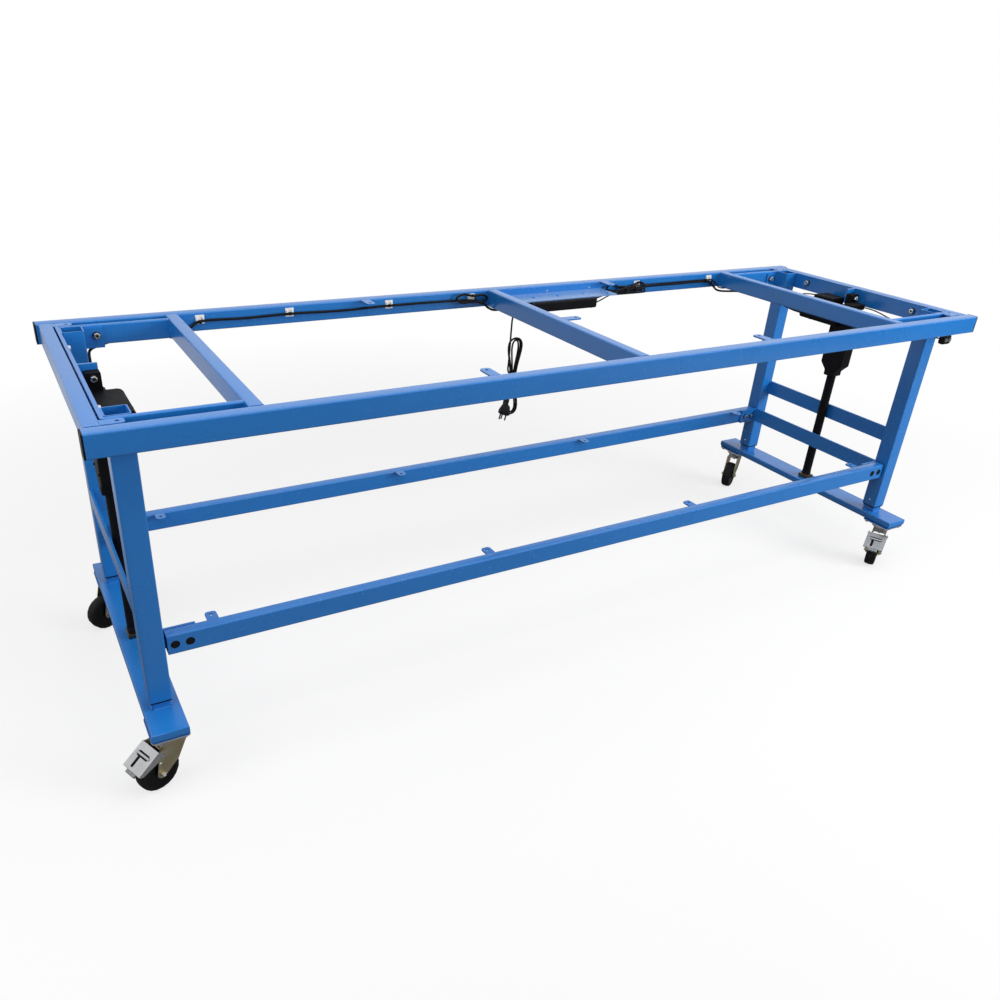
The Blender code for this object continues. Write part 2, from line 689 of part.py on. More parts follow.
def gear_case(name, place):
    """Gear housing outline in the YZ plane, tapering to a collar below and to its eye above."""
    half, collar = GEAR_CASE_WIDTH / 2, GEAR_COLLAR_WIDTH / 2
    crown = GEAR_CROWN_WIDTH / 2
    taper = half - collar
    right = [(collar, GEAR_CASE_BOTTOM - GEAR_COLLAR_DROP), (collar, GEAR_CASE_BOTTOM),
             (half, GEAR_CASE_BOTTOM + taper), (half, GEAR_CASE_TOP - GEAR_CASE_TAPER),
             (crown, GEAR_CASE_TOP)]
    outline = right + [(-across, up) for across, up in reversed(right)]
    middle = sum(up for _, up in outline) / len(outline)
    outline = [(across, up - middle) for across, up in outline]
    case = extrusion(name, [outline], GEAR_CASE_DEPTH, "X", (place, 0, middle))
    return round_edges(case, GEAR_CASE_ROUND, 2, 25)


def actuators():
    """Gear housing with eye and motor, and the guide tube below it, hung from the head bar."""
    guide_bottom = FOOT_TOP + GUIDE_ABOVE_FOOT
    for side, way in SIDES.items():
        place = way * LEG_X
        case = gear_case(f"{side}_actuator_housing", place)
        foot_z = GEAR_CASE_TOP - EYE_Z - EYE_WIDTH / 2
        edge, shoulder = EYE_WIDTH / 2, EYE_ABOVE_BOLT - EYE_CORNER
        outline = [(-edge, foot_z), (edge, foot_z)]
        outline += arc((edge - EYE_CORNER, shoulder), EYE_CORNER, 0, 90, 3)
        outline += arc((EYE_CORNER - edge, shoulder), EYE_CORNER, 90, 180, 3)
        lug = extrusion(f"{side}_eye", [outline, circle(EYE_BOLT + RUN_GAP, 16)], EYE_THICKNESS, "Y",
                        (place, 0, EYE_Z))
        motor_x = way * (LEG_X - MOTOR_OFFSET)
        motor_y = way * (MOTOR_START + MOTOR_REACH) / 2
        motor = extrusion(f"{side}_motor", [rounded_rectangle(*MOTOR_SIZE, MOTOR_CORNER)],
                          MOTOR_REACH - MOTOR_START, "Y", (motor_x, motor_y, MOTOR_Z))
        round_edges(motor, MOTOR_ROUND, 2)
        gland_inset, gland_drop = MOTOR_GLAND_PLACE
        gland = cylinder(f"{side}_motor_gland", MOTOR_LEAD + GLAND_SLEEVE, 2 * MOTOR_GLAND, "Y",
                         (motor_x - way * gland_inset, way * MOTOR_REACH, MOTOR_Z - gland_drop), 12)
        bore_depth = GUIDE_TOP + TOUCH_GAP - GEAR_CASE_BOTTOM + 2 * GEAR_COLLAR_DROP
        bore = cylinder(f"{side}_guide_bore", GUIDE_TUBE + 2 * TOUCH_GAP, bore_depth, "Z",
                        (place, 0, GUIDE_TOP + TOUCH_GAP - bore_depth / 2), 24)
        finish(cut(join(case, lug, motor, gland), bore), BLACK_PLASTIC)
        guide = extrusion(f"{side}_actuator_tube", [circle(GUIDE_TUBE, 24), circle(GUIDE_BORE, 24)],
                          GUIDE_TOP - guide_bottom, "Z", (place, 0, (GUIDE_TOP + guide_bottom) / 2))
        finish(guide, BLACK_PLASTIC)


def wheel():
    """Wheel turned about Z: crowned tread, recessed disc and a hub with the axle's bore."""
    bore = AXLE_DIAMETER / 2 + RUN_GAP
    half, hub = TREAD_WIDTH / 2, HUB_WIDTH / 2
    hub_edge = bore + HUB_WALL
    edge = WHEEL_RADIUS - TREAD_CROWN
    rim = WHEEL_RADIUS - RIM_DEPTH
    upper = [(bore, hub), (hub_edge, hub), (hub_edge + HUB_SLOPE, half - RIM_RECESS),
             (rim, half - RIM_RECESS), (rim + RIM_RECESS, half),
             (edge - TREAD_SHOULDER, half), (edge, half - TREAD_SHOULDER)]
    profile = upper + [(WHEEL_RADIUS, 0)] + [(radius, -height) for radius, height in reversed(upper)]
    return turned("wheel", profile, 20)


def fork_cheek(name, offset, braked):
    """Side of the fork in its own XZ plane: trail along +X, swivel axis at X = 0.

    A braked caster's cheek has the two holes of its brake spring.
    """
    axle = (CASTER_TRAIL, WHEEL_RADIUS)
    rear_reach, rear_drop = CHEEK_REAR
    waist_reach, waist_rise = CHEEK_WAIST
    outline = arc(axle, FORK_EYE_RADIUS, *FORK_EYE_ARC, 6)
    outline += [(CASTER_TRAIL + rear_reach, FORK_SHOULDER_Z - rear_drop),
                (FORK_REAR_REACH, FORK_SHOULDER_Z), (-FORK_FRONT_REACH, FORK_SHOULDER_Z),
                (-FORK_FRONT_REACH, FORK_SHOULDER_Z - CHEEK_FRONT_DROP),
                (CASTER_TRAIL + waist_reach, WHEEL_RADIUS + waist_rise)]
    outlines = [outline]
    if braked:
        for reach, rise in CHEEK_HOLES:
            outlines.append(circle(CHEEK_HOLE, 8, (CASTER_TRAIL + reach, WHEEL_RADIUS + rise)))
    return extrusion(name, outlines, FORK_SHEET, "Y", (0, offset, 0))


def fork(braked):
    """Caster fork with its bearing race, axle and, on a braked caster, the pedal's pin."""
    offset = (FORK_GAP + FORK_SHEET) / 2
    width = FORK_GAP + 2 * FORK_SHEET
    crown_length = FORK_FRONT_REACH + FORK_REAR_REACH
    crown = box("fork", (crown_length, width, FORK_SHEET),
                ((FORK_REAR_REACH - FORK_FRONT_REACH) / 2, 0, FORK_SHOULDER_Z - FORK_SHEET / 2))
    race_top = CASTER_HEIGHT - CASTER_PLATE[2] - TOUCH_GAP
    race_bottom = FORK_SHOULDER_Z - FORK_SHEET / 2
    race_edge = RACE_DIAMETER / 2
    race = turned("race", [(0, race_top), (race_edge - RACE_ROUND, race_top),
                           (race_edge, race_top - RACE_ROUND),
                           (race_edge, race_top - RACE_ROUND - RACE_RIM),
                           (race_edge - RACE_TAPER, race_bottom), (0, race_bottom)], 24)
    head, proud = AXLE_HEAD
    axle = cylinder("axle", AXLE_DIAMETER, width, "Y", (CASTER_TRAIL, 0, WHEEL_RADIUS), 16)
    cheeks = (fork_cheek("cheek_a", -offset, braked), fork_cheek("cheek_b", offset, braked))
    join(crown, *cheeks, race, axle)
    for name, way in (("axle_head", -1), ("axle_nut", 1)):
        seat = way * (width / 2 + proud / 2 - FORK_SHEET / 4)
        join(crown, cylinder(name, head, proud + FORK_SHEET / 2, "Y",
                             (CASTER_TRAIL, seat, WHEEL_RADIUS), 12))
    if braked:
        join(crown, cylinder("pedal_pin", PEDAL_PIN, PEDAL_WIDTH + 2 * PEDAL_PIN_PROUD, "Y",
                             (PEDAL_PIVOT_REACH, 0, PEDAL_PIVOT_Z), 12))
    return bake(crown)


def pedal():
    """Pressed brake pedal about its pivot: sloping tread with a slotted roller, sides and tongue."""
    half = PEDAL_WIDTH / 2
    end = PEDAL_BACK + PEDAL_LENGTH
    top = PEDAL_RISE
    middle = top - PEDAL_SHEET / 2
    tread = box("pedal", (PEDAL_LENGTH, PEDAL_WIDTH, PEDAL_SHEET), ((PEDAL_BACK + end) / 2, 0, middle))
    slot_length, slot_width = PEDAL_SLOT
    stem_length, stem_width = PEDAL_STEM
    slot_x = PEDAL_BACK + PEDAL_SLOT_REACH
    slot = rounded_rectangle(slot_length, slot_width, PEDAL_SLOT_CORNER, 1)
    stem = rounded_rectangle(stem_length + slot_length, stem_width, PEDAL_SLOT_CORNER, 1)
    cut(tread, extrusion("pedal_slot", [slot], 4 * PEDAL_SHEET, "Z", (slot_x, 0, middle)),
        extrusion("pedal_stem", [stem], 4 * PEDAL_SHEET, "Z",
                  (slot_x + (slot_length + stem_length) / 2, PEDAL_STEM_SHIFT, middle)))
    eye = PEDAL_PIN / 2 + PEDAL_EYE_WALL
    nose_length, nose_lip = PEDAL_SIDE_NOSE
    for name, way in (("pedal_side_a", -1), ("pedal_side_b", 1)):
        outline = arc((0, 0), eye, 100, 280, 8)
        outline += [(end - nose_length, top - PEDAL_SIDE), (end, top - PEDAL_SHEET - nose_lip),
                    (end, top - PEDAL_SHEET / 2), (PEDAL_BACK, top - PEDAL_SHEET / 2)]
        side = extrusion(name, [outline, circle(PEDAL_PIN + 2 * RUN_GAP, 12)], PEDAL_SHEET, "Y",
                         (0, way * (half - PEDAL_SHEET / 2), 0))
        join(tread, side)
    roller = cylinder("pedal_roller", PEDAL_ROLLER, slot_width + 2 * PEDAL_ROLLER_ROOT, "Y",
                      (slot_x, 0, middle), 12)
    tongue_length, tongue_width, tongue_height = TONGUE_SIZE
    tongue = box("pedal_tongue", (tongue_length + TONGUE_ROOT, tongue_width, tongue_height),
                 (end + (tongue_length - TONGUE_ROOT) / 2, 0, top - TONGUE_DROP - tongue_height / 2))
    round_edges(tongue, TONGUE_ROUND)
    return bake(join(tread, roller, tongue))


def casters():
    """Four casters, each on an empty at its swivel axis with +X along its trail."""
    forks = {True: fork(True), False: fork(False)}
    tyre = wheel()
    brake = pedal()
    for face, sign in FACES.items():
        for side, way in SIDES.items():
            corner = f"{face}_{side}"
            swivel = bpy.data.objects.new(f"{corner}_swivel", None)
            swivel.location = (way * LEG_X, sign * CASTER_Y, 0)
            swivel.rotation_euler = (0, 0, math.radians(180 + SWIVEL_TURN[corner]))
            PARTS.objects.link(swivel)
            swivel.parent = bpy.data.objects[f"{side}_base_slide"]
            braked = face == "front"
            copy_of(forks[braked], f"{corner}_fork", ZINC).parent = swivel
            rolling = copy_of(tyre, f"{corner}_wheel", BLACK_RUBBER)
            rolling.parent = swivel
            rolling.location = (CASTER_TRAIL, 0, WHEEL_RADIUS)
            rolling.rotation_euler = (math.pi / 2, 0, 0)
            if braked:
                lever = copy_of(brake, f"{corner}_pedal", ZINC)
                lever.parent = swivel
                lever.location = (PEDAL_PIVOT_REACH, 0, PEDAL_PIVOT_Z)
                lever.rotation_euler = (0, math.radians(PEDAL_SLOPE), 0)
    for source in (*forks.values(), tyre, brake):
        bpy.data.objects.remove(source, do_unlink=True)


def control_unit():
    """Plate on the back rail, and the control box under it with its lead glands."""
    length = PLATE_END_X - PLATE_START_X
    outline = rounded_rectangle(length, PLATE_DEPTH, PLATE_CORNER)
    plate = extrusion("control_plate", [outline], PLATE_THICKNESS, "Z",
                      (PLATE_START_X + length / 2, RAIL_INNER - TOUCH_GAP - PLATE_DEPTH / 2, PLATE_Z))
    finish(plate, BLUE_PAINT)
    case = box("control_box", (BOX_LENGTH, BOX_DEPTH, BOX_HEIGHT),
               ((BOX_START_X + BOX_END_X) / 2, BOX_BACK - BOX_DEPTH / 2, BOX_TOP - BOX_HEIGHT / 2))
    round_edges(case, BOX_ROUND, 3)
    glands = (("left_lead_gland", BOX_START_X, MOTOR_LEAD, LEFT_LEAD_GLAND),
              ("right_lead_gland", BOX_END_X, MOTOR_LEAD, RIGHT_LEAD_GLAND),
              ("handset_gland", BOX_END_X, HANDSET_LEAD, HANDSET_GLAND),
              ("mains_gland", BOX_START_X, MAINS_LEAD, MAINS_GLAND))
    for name, face, lead, (inset, drop) in glands:
        join(case, cylinder(name, lead + GLAND_SLEEVE, 2 * GLAND_LENGTH, "X",
                            (face, BOX_BACK - inset, BOX_TOP - drop), 10))
    finish(case, BLACK_PLASTIC)


def handset():
    """Handset under the front rail with pockets for its two buttons."""
    width, depth, height = HANDSET_SIZE
    front = -TABLE_DEPTH / 2 + HANDSET_SETBACK
    middle_z = FRAME_BOTTOM - TOUCH_GAP - height / 2
    case = box("handset", HANDSET_SIZE, (HANDSET_X, front + depth / 2, middle_z))
    round_edges(case, HANDSET_ROUND, 3)
    button_width, button_height = BUTTON_SIZE
    slack = 2 * RUN_GAP
    for name, way in (("up", -1), ("down", 1)):
        place = HANDSET_X + way * BUTTON_SPACING / 2
        pocket = rounded_rectangle(button_width + slack, button_height + slack, BUTTON_CORNER + RUN_GAP)
        cut(case, extrusion(f"{name}_pocket", [pocket], 2 * BUTTON_POCKET, "Y", (place, front, middle_z)))
        key = rounded_rectangle(button_width, button_height, BUTTON_CORNER)
        depth_in = BUTTON_POCKET - BUTTON_TRAVEL - 2 * RUN_GAP
        button = extrusion(f"{name}_button", [key], BUTTON_PROUD + depth_in, "Y",
                           (place, front + (depth_in - BUTTON_PROUD) / 2, middle_z))
        finish(button, GREY_PLASTIC)
    finish(case, BLACK_PLASTIC)


# Leads, as points along their routes from end to end
LEFT_LEAD = (
    (-1.184, -0.1575, 0.758), (-1.182, -0.176, 0.757), (-1.163, -0.192, 0.754), (-1.149, -0.186, 0.751),
    (-1.1435, -0.168, 0.748), (-1.144, -0.120, 0.744), (-1.160, 0.040, 0.7425), (-1.182, 0.190, 0.7465),
    (-1.187, 0.245, 0.758), (-1.1885, 0.278, 0.778), (-1.1880, 0.293, 0.795), (-1.186, 0.309, 0.8065),
    (-1.179, 0.327, 0.8105), (-1.163, 0.343, 0.8125), (-1.130, 0.350, 0.819), (-1.080, 0.351, 0.831),
    (-1.030, 0.352, 0.832), (-0.995, 0.353, 0.822), (-0.968, 0.353, 0.8135), (-0.944, 0.355, 0.819),
    (-0.922, 0.358, 0.838), (-0.890, 0.3605, 0.850), (-0.780, 0.3605, 0.848), (-0.653, 0.3605, 0.850),
    (-0.500, 0.3605, 0.847), (-0.352, 0.3605, 0.850), (-0.140, 0.3605, 0.849), (-0.076, 0.3605, 0.845),
    (-0.040, 0.3600, 0.839), (-0.023, 0.3580, 0.848), (-0.038, 0.3550, 0.861), (-0.076, 0.3525, 0.861),
    (-0.110, 0.3520, 0.868), (-0.135, 0.3505, 0.857), (-0.115, 0.3470, 0.844), (-0.076, 0.3445, 0.846),
    (-0.045, 0.3435, 0.838), (-0.026, 0.3430, 0.824), (-0.006, 0.3420, 0.8155), (0.020, 0.3380, 0.8165),
    (0.040, 0.3340, 0.823), (0.060, 0.3320, 0.829), (0.070, 0.3320, 0.829), (0.0765, 0.3320, 0.829),
)
RIGHT_LEAD = (
    (0.3435, 0.326, 0.826), (0.350, 0.326, 0.826), (0.362, 0.326, 0.826), (0.410, 0.344, 0.830),
    (0.450, 0.356, 0.834),
    (0.500, 0.3605, 0.8395), (0.545, 0.3605, 0.8395), (0.580, 0.3605, 0.836), (0.604, 0.3600, 0.848),
    (0.580, 0.3595, 0.861), (0.545, 0.3590, 0.8505), (0.500, 0.3585, 0.8495), (0.460, 0.3560, 0.860),
    (0.435, 0.3520, 0.851), (0.460, 0.3480, 0.841), (0.510, 0.3505, 0.8445), (0.570, 0.3515, 0.8455),
    (0.640, 0.3560, 0.846), (0.720, 0.3605, 0.845), (0.890, 0.3605, 0.845), (0.915, 0.3585, 0.833),
    (0.935, 0.3550, 0.816), (0.955, 0.3530, 0.809), (0.985, 0.3510, 0.806), (1.050, 0.3450, 0.802),
    (1.100, 0.3250, 0.793), (1.140, 0.2950, 0.786), (1.165, 0.2500, 0.772), (1.178, 0.2050, 0.761),
    (1.183, 0.1780, 0.7585), (1.184, 0.1575, 0.758),
)
HANDSET_ROUTE = (
    (0.3435, 0.300, 0.824), (0.350, 0.300, 0.824), (0.362, 0.300, 0.824), (0.430, 0.324, 0.836),
    (0.500, 0.337, 0.850),
    (0.570, 0.3425, 0.8555), (0.640, 0.352, 0.8535), (0.720, 0.3605, 0.851), (0.890, 0.3605, 0.851),
    (0.920, 0.360, 0.845), (0.938, 0.359, 0.832), (0.949, 0.357, 0.822), (0.965, 0.3555, 0.8175),
    (0.990, 0.354, 0.8165), (1.050, 0.350, 0.8135), (1.120, 0.334, 0.811), (1.160, 0.300, 0.808),
    (1.182, 0.255, 0.806), (1.205, 0.222, 0.809), (1.226, 0.180, 0.818), (1.237, 0.100, 0.8205),
    (1.2388, 0.030, 0.8195), (1.2388, -0.030, 0.8195), (1.233, -0.088, 0.820), (1.225, -0.145, 0.813),
    (1.205, -0.215, 0.806), (1.184, -0.262, 0.801), (1.180, -0.305, 0.799), (1.182, -0.345, 0.803),
    (1.184, -0.3737, 0.806),
)
MAINS_ROUTE = (
    (0.0765, 0.287, 0.831), (0.071, 0.287, 0.831), (0.062, 0.287, 0.831), (0.042, 0.2855, 0.8225),
    (0.0285, 0.283, 0.803), (0.0255, 0.2810, 0.775), (0.0247, 0.2803, 0.735), (0.0245, 0.2801, 0.690),
    (0.0242, 0.2806, 0.660), (0.0226, 0.2790, 0.640),
)


def smooth_route(points, steps):
    """Read points from a smooth curve through the route's own points."""
    route = [Vector(point) for point in points]
    route = [2 * route[0] - route[1]] + route + [2 * route[-1] - route[-2]]
    result = []
    for before, start, end, after in zip(route, route[1:], route[2:], route[3:]):
        for step in range(steps):
            part = step / steps
            result.append(0.5 * (2 * start + (end - before) * part
                                 + (2 * before - 5 * start + 4 * end - after) * part ** 2
                                 + (3 * start - before - 3 * end + after) * part ** 3))
    return result + [route[-2]]


def lead(name, points, diameter):
    curve = bpy.data.curves.new(name, "CURVE")
    curve.dimensions = "3D"
    curve.bevel_depth = diameter / 2
    curve.bevel_resolution = LEAD_ROUNDNESS
    curve.use_fill_caps = True
    spline = curve.splines.new("POLY")
    spline.points.add(len(points) - 1)
    for point, place in zip(spline.points, points):
        point.co = (*place, 1)
    return finish(new_object(name, curve), BLACK_CABLE)


def hank_loop(turn):
    """Point and inward normal on the hank's outer loop, at a turn counted from its left waist."""
    angle = 2 * math.pi * turn
    sine, cosine = math.sin(angle), math.cos(angle)
    lobe = HANK_BOTTOM_LOBE if sine > 0 else HANK_TOP_LOBE
    if sine < 0 and int(turn) == HANK_TURNS // 2:
        lobe *= 1 - HANK_NEST
    point = Vector((-cosine * (HANK_WAIST + lobe * sine ** 2), 0, -HANK_HALF_HEIGHT * sine))
    along = Vector((sine * (HANK_WAIST + lobe * sine ** 2) - 2 * lobe * sine * cosine ** 2, 0,
                    -HANK_HALF_HEIGHT * cosine))
    along.normalize()
    return point, Vector((-along.z, 0, along.x))


def smooth_step(value):
    value = min(max(value, 0.0), 1.0)
    return value * value * (3 - 2 * value)


def hank_points():
    """Loops that spiral in, climb to the front layer along a run, spiral out, and end in a tail."""
    middle = HANK_TURNS / 2
    points = []
    for step in range(HANK_TURNS * HANK_POINTS_PER_TURN + 1):
        turn = step / HANK_POINTS_PER_TURN
        inward = HANK_PITCH * (middle - abs(turn - middle))
        point, normal = hank_loop(turn)
        layer = smooth_step((turn - middle) / HANK_CLIMB + 0.5) - 0.5
        points.append(Vector(HANK_CENTRE) + point + inward * normal - Vector((0, layer * HANK_PITCH, 0)))
    above = points[0] + Vector((0, 0, MAINS_LEAD))
    tail = smooth_route([points[-2], points[-1]] + [points[-1] + Vector(offset) for offset in HANK_TAIL], 2)
    return [above] + points[:-2] + tail


def least_gap(points, diameter):
    """Least clear distance between stretches of a tube more than three diameters apart along it."""
    places = [0.0]
    for start, end in zip(points, points[1:]):
        places.append(places[-1] + (end - start).length)
    fine = []
    for index in range(len(points) - 1):
        for part in (0.0, 0.25, 0.5, 0.75):
            place = places[index] + part * (places[index + 1] - places[index])
            fine.append((place, points[index].lerp(points[index + 1], part)))
    least = math.inf
    for index, (place, point) in enumerate(fine):
        for other_place, other in fine[index + 1:]:
            if other_place - place > 3 * diameter:
                least = min(least, (other - point).length)
    return least - diameter


def mains_lead():
    """Mains lead from the control box to its hank, and the plug at the hank's lower end."""
    loops = hank_points()
    gap = least_gap(loops, MAINS_LEAD)
    print(f"mains hank: least gap {gap * 1000:.2f} mm")
    if gap < HANK_LEAST_GAP:
        raise ValueError("the hank's loops touch")
    lead("mains_hank", loops, MAINS_LEAD)
    away = (loops[0] - loops[1]).normalized()
    meeting = loops[0] + away * TOUCH_GAP
    route = MAINS_ROUTE + (meeting + away * MAINS_LEAD, meeting + away * MAINS_LEAD / 2, meeting)
    lead("mains_cord", smooth_route(route, 3), MAINS_LEAD)
    ahead = (loops[-1] - loops[-2]).normalized()
    mains_plug(loops[-1] + ahead * TOUCH_GAP, ahead)


def mains_plug(start, ahead):
    """Moulded plug with two pins and an earth pin, along the lead's last direction."""
    neck, neck_length = PLUG_NECK
    face = neck_length + PLUG_LENGTH
    rim = PLUG_DIAMETER / 2
    shoulder, shoulder_length = PLUG_SHOULDER
    body = turned("mains_plug", [(0, face), (rim - PLUG_ROUND, face), (rim, face - PLUG_ROUND),
                                 (rim, face - PLUG_GRIP), (shoulder, neck_length + shoulder_length),
                                 (neck / 2 + PLUG_NECK_FLARE, neck_length), (neck / 2, 0), (0, 0)], 20)
    pin, reach = PIN_SIZE
    places = ((-PIN_SPACING / 2, 0), (PIN_SPACING / 2, 0), (0, EARTH_PIN_OFFSET))
    for number, (across, up) in enumerate(places, 1):
        join(body, cylinder(f"plug_pin_{number}", pin, reach + PIN_ROOT, "Z",
                            (across, up, face + (reach - PIN_ROOT) / 2), 8))
    bake(body)
    body.location = start
    body.rotation_mode = "QUATERNION"
    body.rotation_quaternion = ahead.to_track_quat("Z", "Y")
    finish(body, BLACK_PLASTIC)


def leads():
    lead("left_motor_lead", smooth_route(LEFT_LEAD, 2), MOTOR_LEAD)
    lead("right_motor_lead", smooth_route(RIGHT_LEAD, 2), MOTOR_LEAD)
    lead("handset_lead", smooth_route(HANDSET_ROUTE, 2), HANDSET_LEAD)
    mains_lead()


long_rails()
end_caps()
cross_members()
head_bars()
side_bars()
outer_legs()
end_bars()
lower_beams()
lift_bases()
actuators()
casters()
control_unit()
handset()
leads()
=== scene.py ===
"""Looks of the powered assembly table: leads, paint, plating, fasteners, welds, trim and a plain studio."""

import json
import math

import bmesh
import bpy
from bpy.props import FloatProperty, FloatVectorProperty, PointerProperty
from mathutils import Matrix, Vector


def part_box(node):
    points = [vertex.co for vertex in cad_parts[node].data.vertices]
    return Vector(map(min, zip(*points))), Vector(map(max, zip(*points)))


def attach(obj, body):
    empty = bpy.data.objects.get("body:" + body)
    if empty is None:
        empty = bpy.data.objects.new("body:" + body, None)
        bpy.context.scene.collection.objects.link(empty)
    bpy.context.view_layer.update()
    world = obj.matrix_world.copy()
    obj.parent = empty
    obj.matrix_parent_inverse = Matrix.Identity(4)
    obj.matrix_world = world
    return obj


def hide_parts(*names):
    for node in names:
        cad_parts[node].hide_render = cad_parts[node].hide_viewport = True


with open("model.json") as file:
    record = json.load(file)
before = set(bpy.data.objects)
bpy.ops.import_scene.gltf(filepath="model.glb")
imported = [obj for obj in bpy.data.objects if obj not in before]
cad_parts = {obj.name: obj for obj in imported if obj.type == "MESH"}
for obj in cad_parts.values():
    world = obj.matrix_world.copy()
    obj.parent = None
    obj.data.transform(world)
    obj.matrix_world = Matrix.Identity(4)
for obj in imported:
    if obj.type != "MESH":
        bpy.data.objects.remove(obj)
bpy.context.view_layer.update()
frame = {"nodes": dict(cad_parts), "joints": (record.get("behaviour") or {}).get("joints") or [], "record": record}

bl_info = {
    "name": "Assembly Table Looks",
    "version": (1, 0, 0),
    "blender": (4, 5, 0),
    "location": "View3D > Sidebar > Assembly Table",
    "description": "Finishes, leads, fasteners and trim of a powered assembly table",
    "category": "Object",
}

SIDES = {"left": -1, "right": 1}
FACES = {"front": -1, "back": 1}
CORNERS = [(face, side, sign, way) for face, sign in FACES.items() for side, way in SIDES.items()]
JOINTS = {joint["name"]: joint for joint in frame["joints"]}
BODY = "top_frame"


def middle_of(node):
    low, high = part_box(node)
    return (low + high) / 2


# Places read from the frame
LEG_X = middle_of("front_right_inner_leg").x
LEG_Y = middle_of("back_right_inner_leg").y
FOOT_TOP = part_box("left_foot")[1].z
TUBE_Z = middle_of("left_cross_rail").z
BEAM_Z = middle_of("front_lower_beam").z
CROSS_X = middle_of("right_cross_rail").x
RAIL_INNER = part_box("left_cross_rail")[1].y
END_RAIL_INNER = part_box("front_right_side_bar")[1].x
SIDE_BAR_EDGES = [corner.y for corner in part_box("back_right_side_bar")]
PLATE_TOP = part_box("control_plate")[1].z

# Sizes of the tube frame that the trim sits on
LEG_SIZE = 0.050
CROSS_WIDTH = 0.031
TUBE_HEIGHT = 0.050
FLANGE_FACE_Y = 0.3162
FLANGE_BOLT_X = 1.1617
FLANGE_Z = 0.841
BEAM_FLANGE_FACE_Y = 0.2749
BEAM_BOLT_X = (1.1377, 1.1702)
HEAD_BAR_BOLT_Y = 0.215
HEAD_BAR_BOLT_Z = 0.849
ACCESS_FACE_Y = 0.3112
BACK_RAIL_FACE = 0.365
EYE_Z = 0.845
EYE_HALF = 0.012
BRACKET_FACE_Y = 0.0183
TOUCH_GAP = 0.0003

# Cosine between faces that count as flat, and degrees of one smooth surface and of a sharp edge
FLAT_COSINE = 0.9998
SMOOTH_ANGLE = 50
SHARP_ANGLE = 36

# Rounded edges of small blocks
SOFT_EDGE = 0.0008
THIN_EDGE = 0.0005
SEAM_EDGE = 0.0004
FINE_EDGE = 0.0003

# Profiles of heads: share of the radius outward, then share of the radius below the top or up from the seat
HEX_FACE = ((0, 0.20), (0.40, 0.20), (0.52, 0), (0.80, 0), (0.97, 0.12), (1, 0.22))
PAN_FACE = ((0, 0.22), (0.21, 0.30), (0.42, 0.66), (0.62, 0.63), (0.90, 0.40), (1, 0.12), (1, 0), (0, 0))

# Bolts and nuts as shares of the head's width, with the rises of a socket and of a bolt's end in metres;
# a washer's thickness is a share of its own width, and its rim a share of that thickness
WASHER_THICKNESS = 0.085
WASHER_RIM = 0.25
HEAD_HEIGHT = 0.46
HEAD_BORE = 0.5
SOCKET_DEPTH = 0.10
SOCKET_HALF = (0.15, 0.19)
SOCKET_RISE = (0.0006, 0.0004, -0.0005)
NUT_HEIGHT = 0.44
NUT_BORE = 0.45
STUB_HALF = 0.24
STUB_END = ((0, 0.0035), (0.8, 0.0035), (1, 0.0025), (0.92, 0.0019), (1, 0.0013))
EYE_BOLT = 0.92
EYE_WASHER = 0.9
BEAM_WASHER = 1.25
BEAM_NUT_SPIN = 40

# Screws, rivets, and black plugs that paint the shade inside holes
PLATE_SCREW = 0.0105
PLATE_SCREWS = ((0.1203, 0.312), (0.2108, 0.312))
PLATE_HOLES = ((0.310, 0.312), (0.395, 0.330), (0.395, 0.296))
PLATE_SHADE_PLUG = ((0, 0.0005), (0.0022, 0.0006), (0.0030, 0.0004), (0.0034, 0), (0, -0.0004))
RAIL_RIVET = 0.0062
RAIL_RIVETS = (0.205, 0.372)
RAIL_RIVET_Z = 0.855
ACCESS_SHADE_PLUG = ((0, 0.0002), (0.0062, 0.0002), (0.0070, -0.0004), (0.0090, -0.0004), (0.0099, 0.0002),
               (0.0099, -0.0011), (0, -0.0011))
ACCESS_SHADE_PLUG_DEPTH = 0.0014

# Weld beads: change of radius along a bead, its distance from a corner, and the length of a ripple
WELD_RIPPLE = (1.0, 0.86, 1.04, 0.88)
WELD_ROUNDS = 2
WELD_INSET = 0.004
WELD_STEP = 0.0022
WELD_LEAST = 4

# Guide bushes of the legs as side and corner radius, with heights from the mouth, and guide screws
BUSH_BORE = (0.0428, 0.0042)
BUSH_LIP = (0.0484, 0.0046)
# The black lip reaches below the mouth and partly paints the shadow line under each outer leg
BUSH_LIP_Z = (-0.0042, -0.0003)
BUSH_SLEEVE = (0.0446, 0.0030)
BUSH_SLEEVE_Z = (-0.0003, 0.030)
GUIDE_SCREW = 0.0055
GUIDE_SCREW_LIFT = 0.042

# Cable clips, with the saddle on each as shares of its side
CLIP_X = (-0.898, -0.653, -0.352, -0.076, 0.572, 0.900)
CLIP_Z = 0.853
CLIP_THICKNESS = 0.0008
SADDLE_OFFSET = 0.33
SADDLE_SIZE = (0.18, 0.60)
SADDLE_HEIGHT = 0.0040
SADDLE_LIFT = 0.0022

# Ties on the leads: place along the rail, depth, height, and the bundle's depth and height
TIES = (
    (-0.898, 0.3601, 0.8472, 0.0078, 0.0080), (-0.653, 0.3605, 0.8500, 0.0078, 0.0078),
    (-0.352, 0.3605, 0.8500, 0.0078, 0.0078), (-0.076, 0.3525, 0.8530, 0.0240, 0.0245),
    (0.505, 0.3501, 0.8417, 0.0285, 0.0272), (0.545, 0.3501, 0.8423, 0.0285, 0.0285),
    (0.880, 0.3605, 0.8473, 0.0078, 0.0124),
)
TIE_CORNER = 0.45
TIE_THICKNESS = 0.0008
TIE_LOCK = (0.0056, 0.0044, 0.0060)
TIE_LOCK_OUT = 0.0022
TIE_LOCK_RISE = 0.16
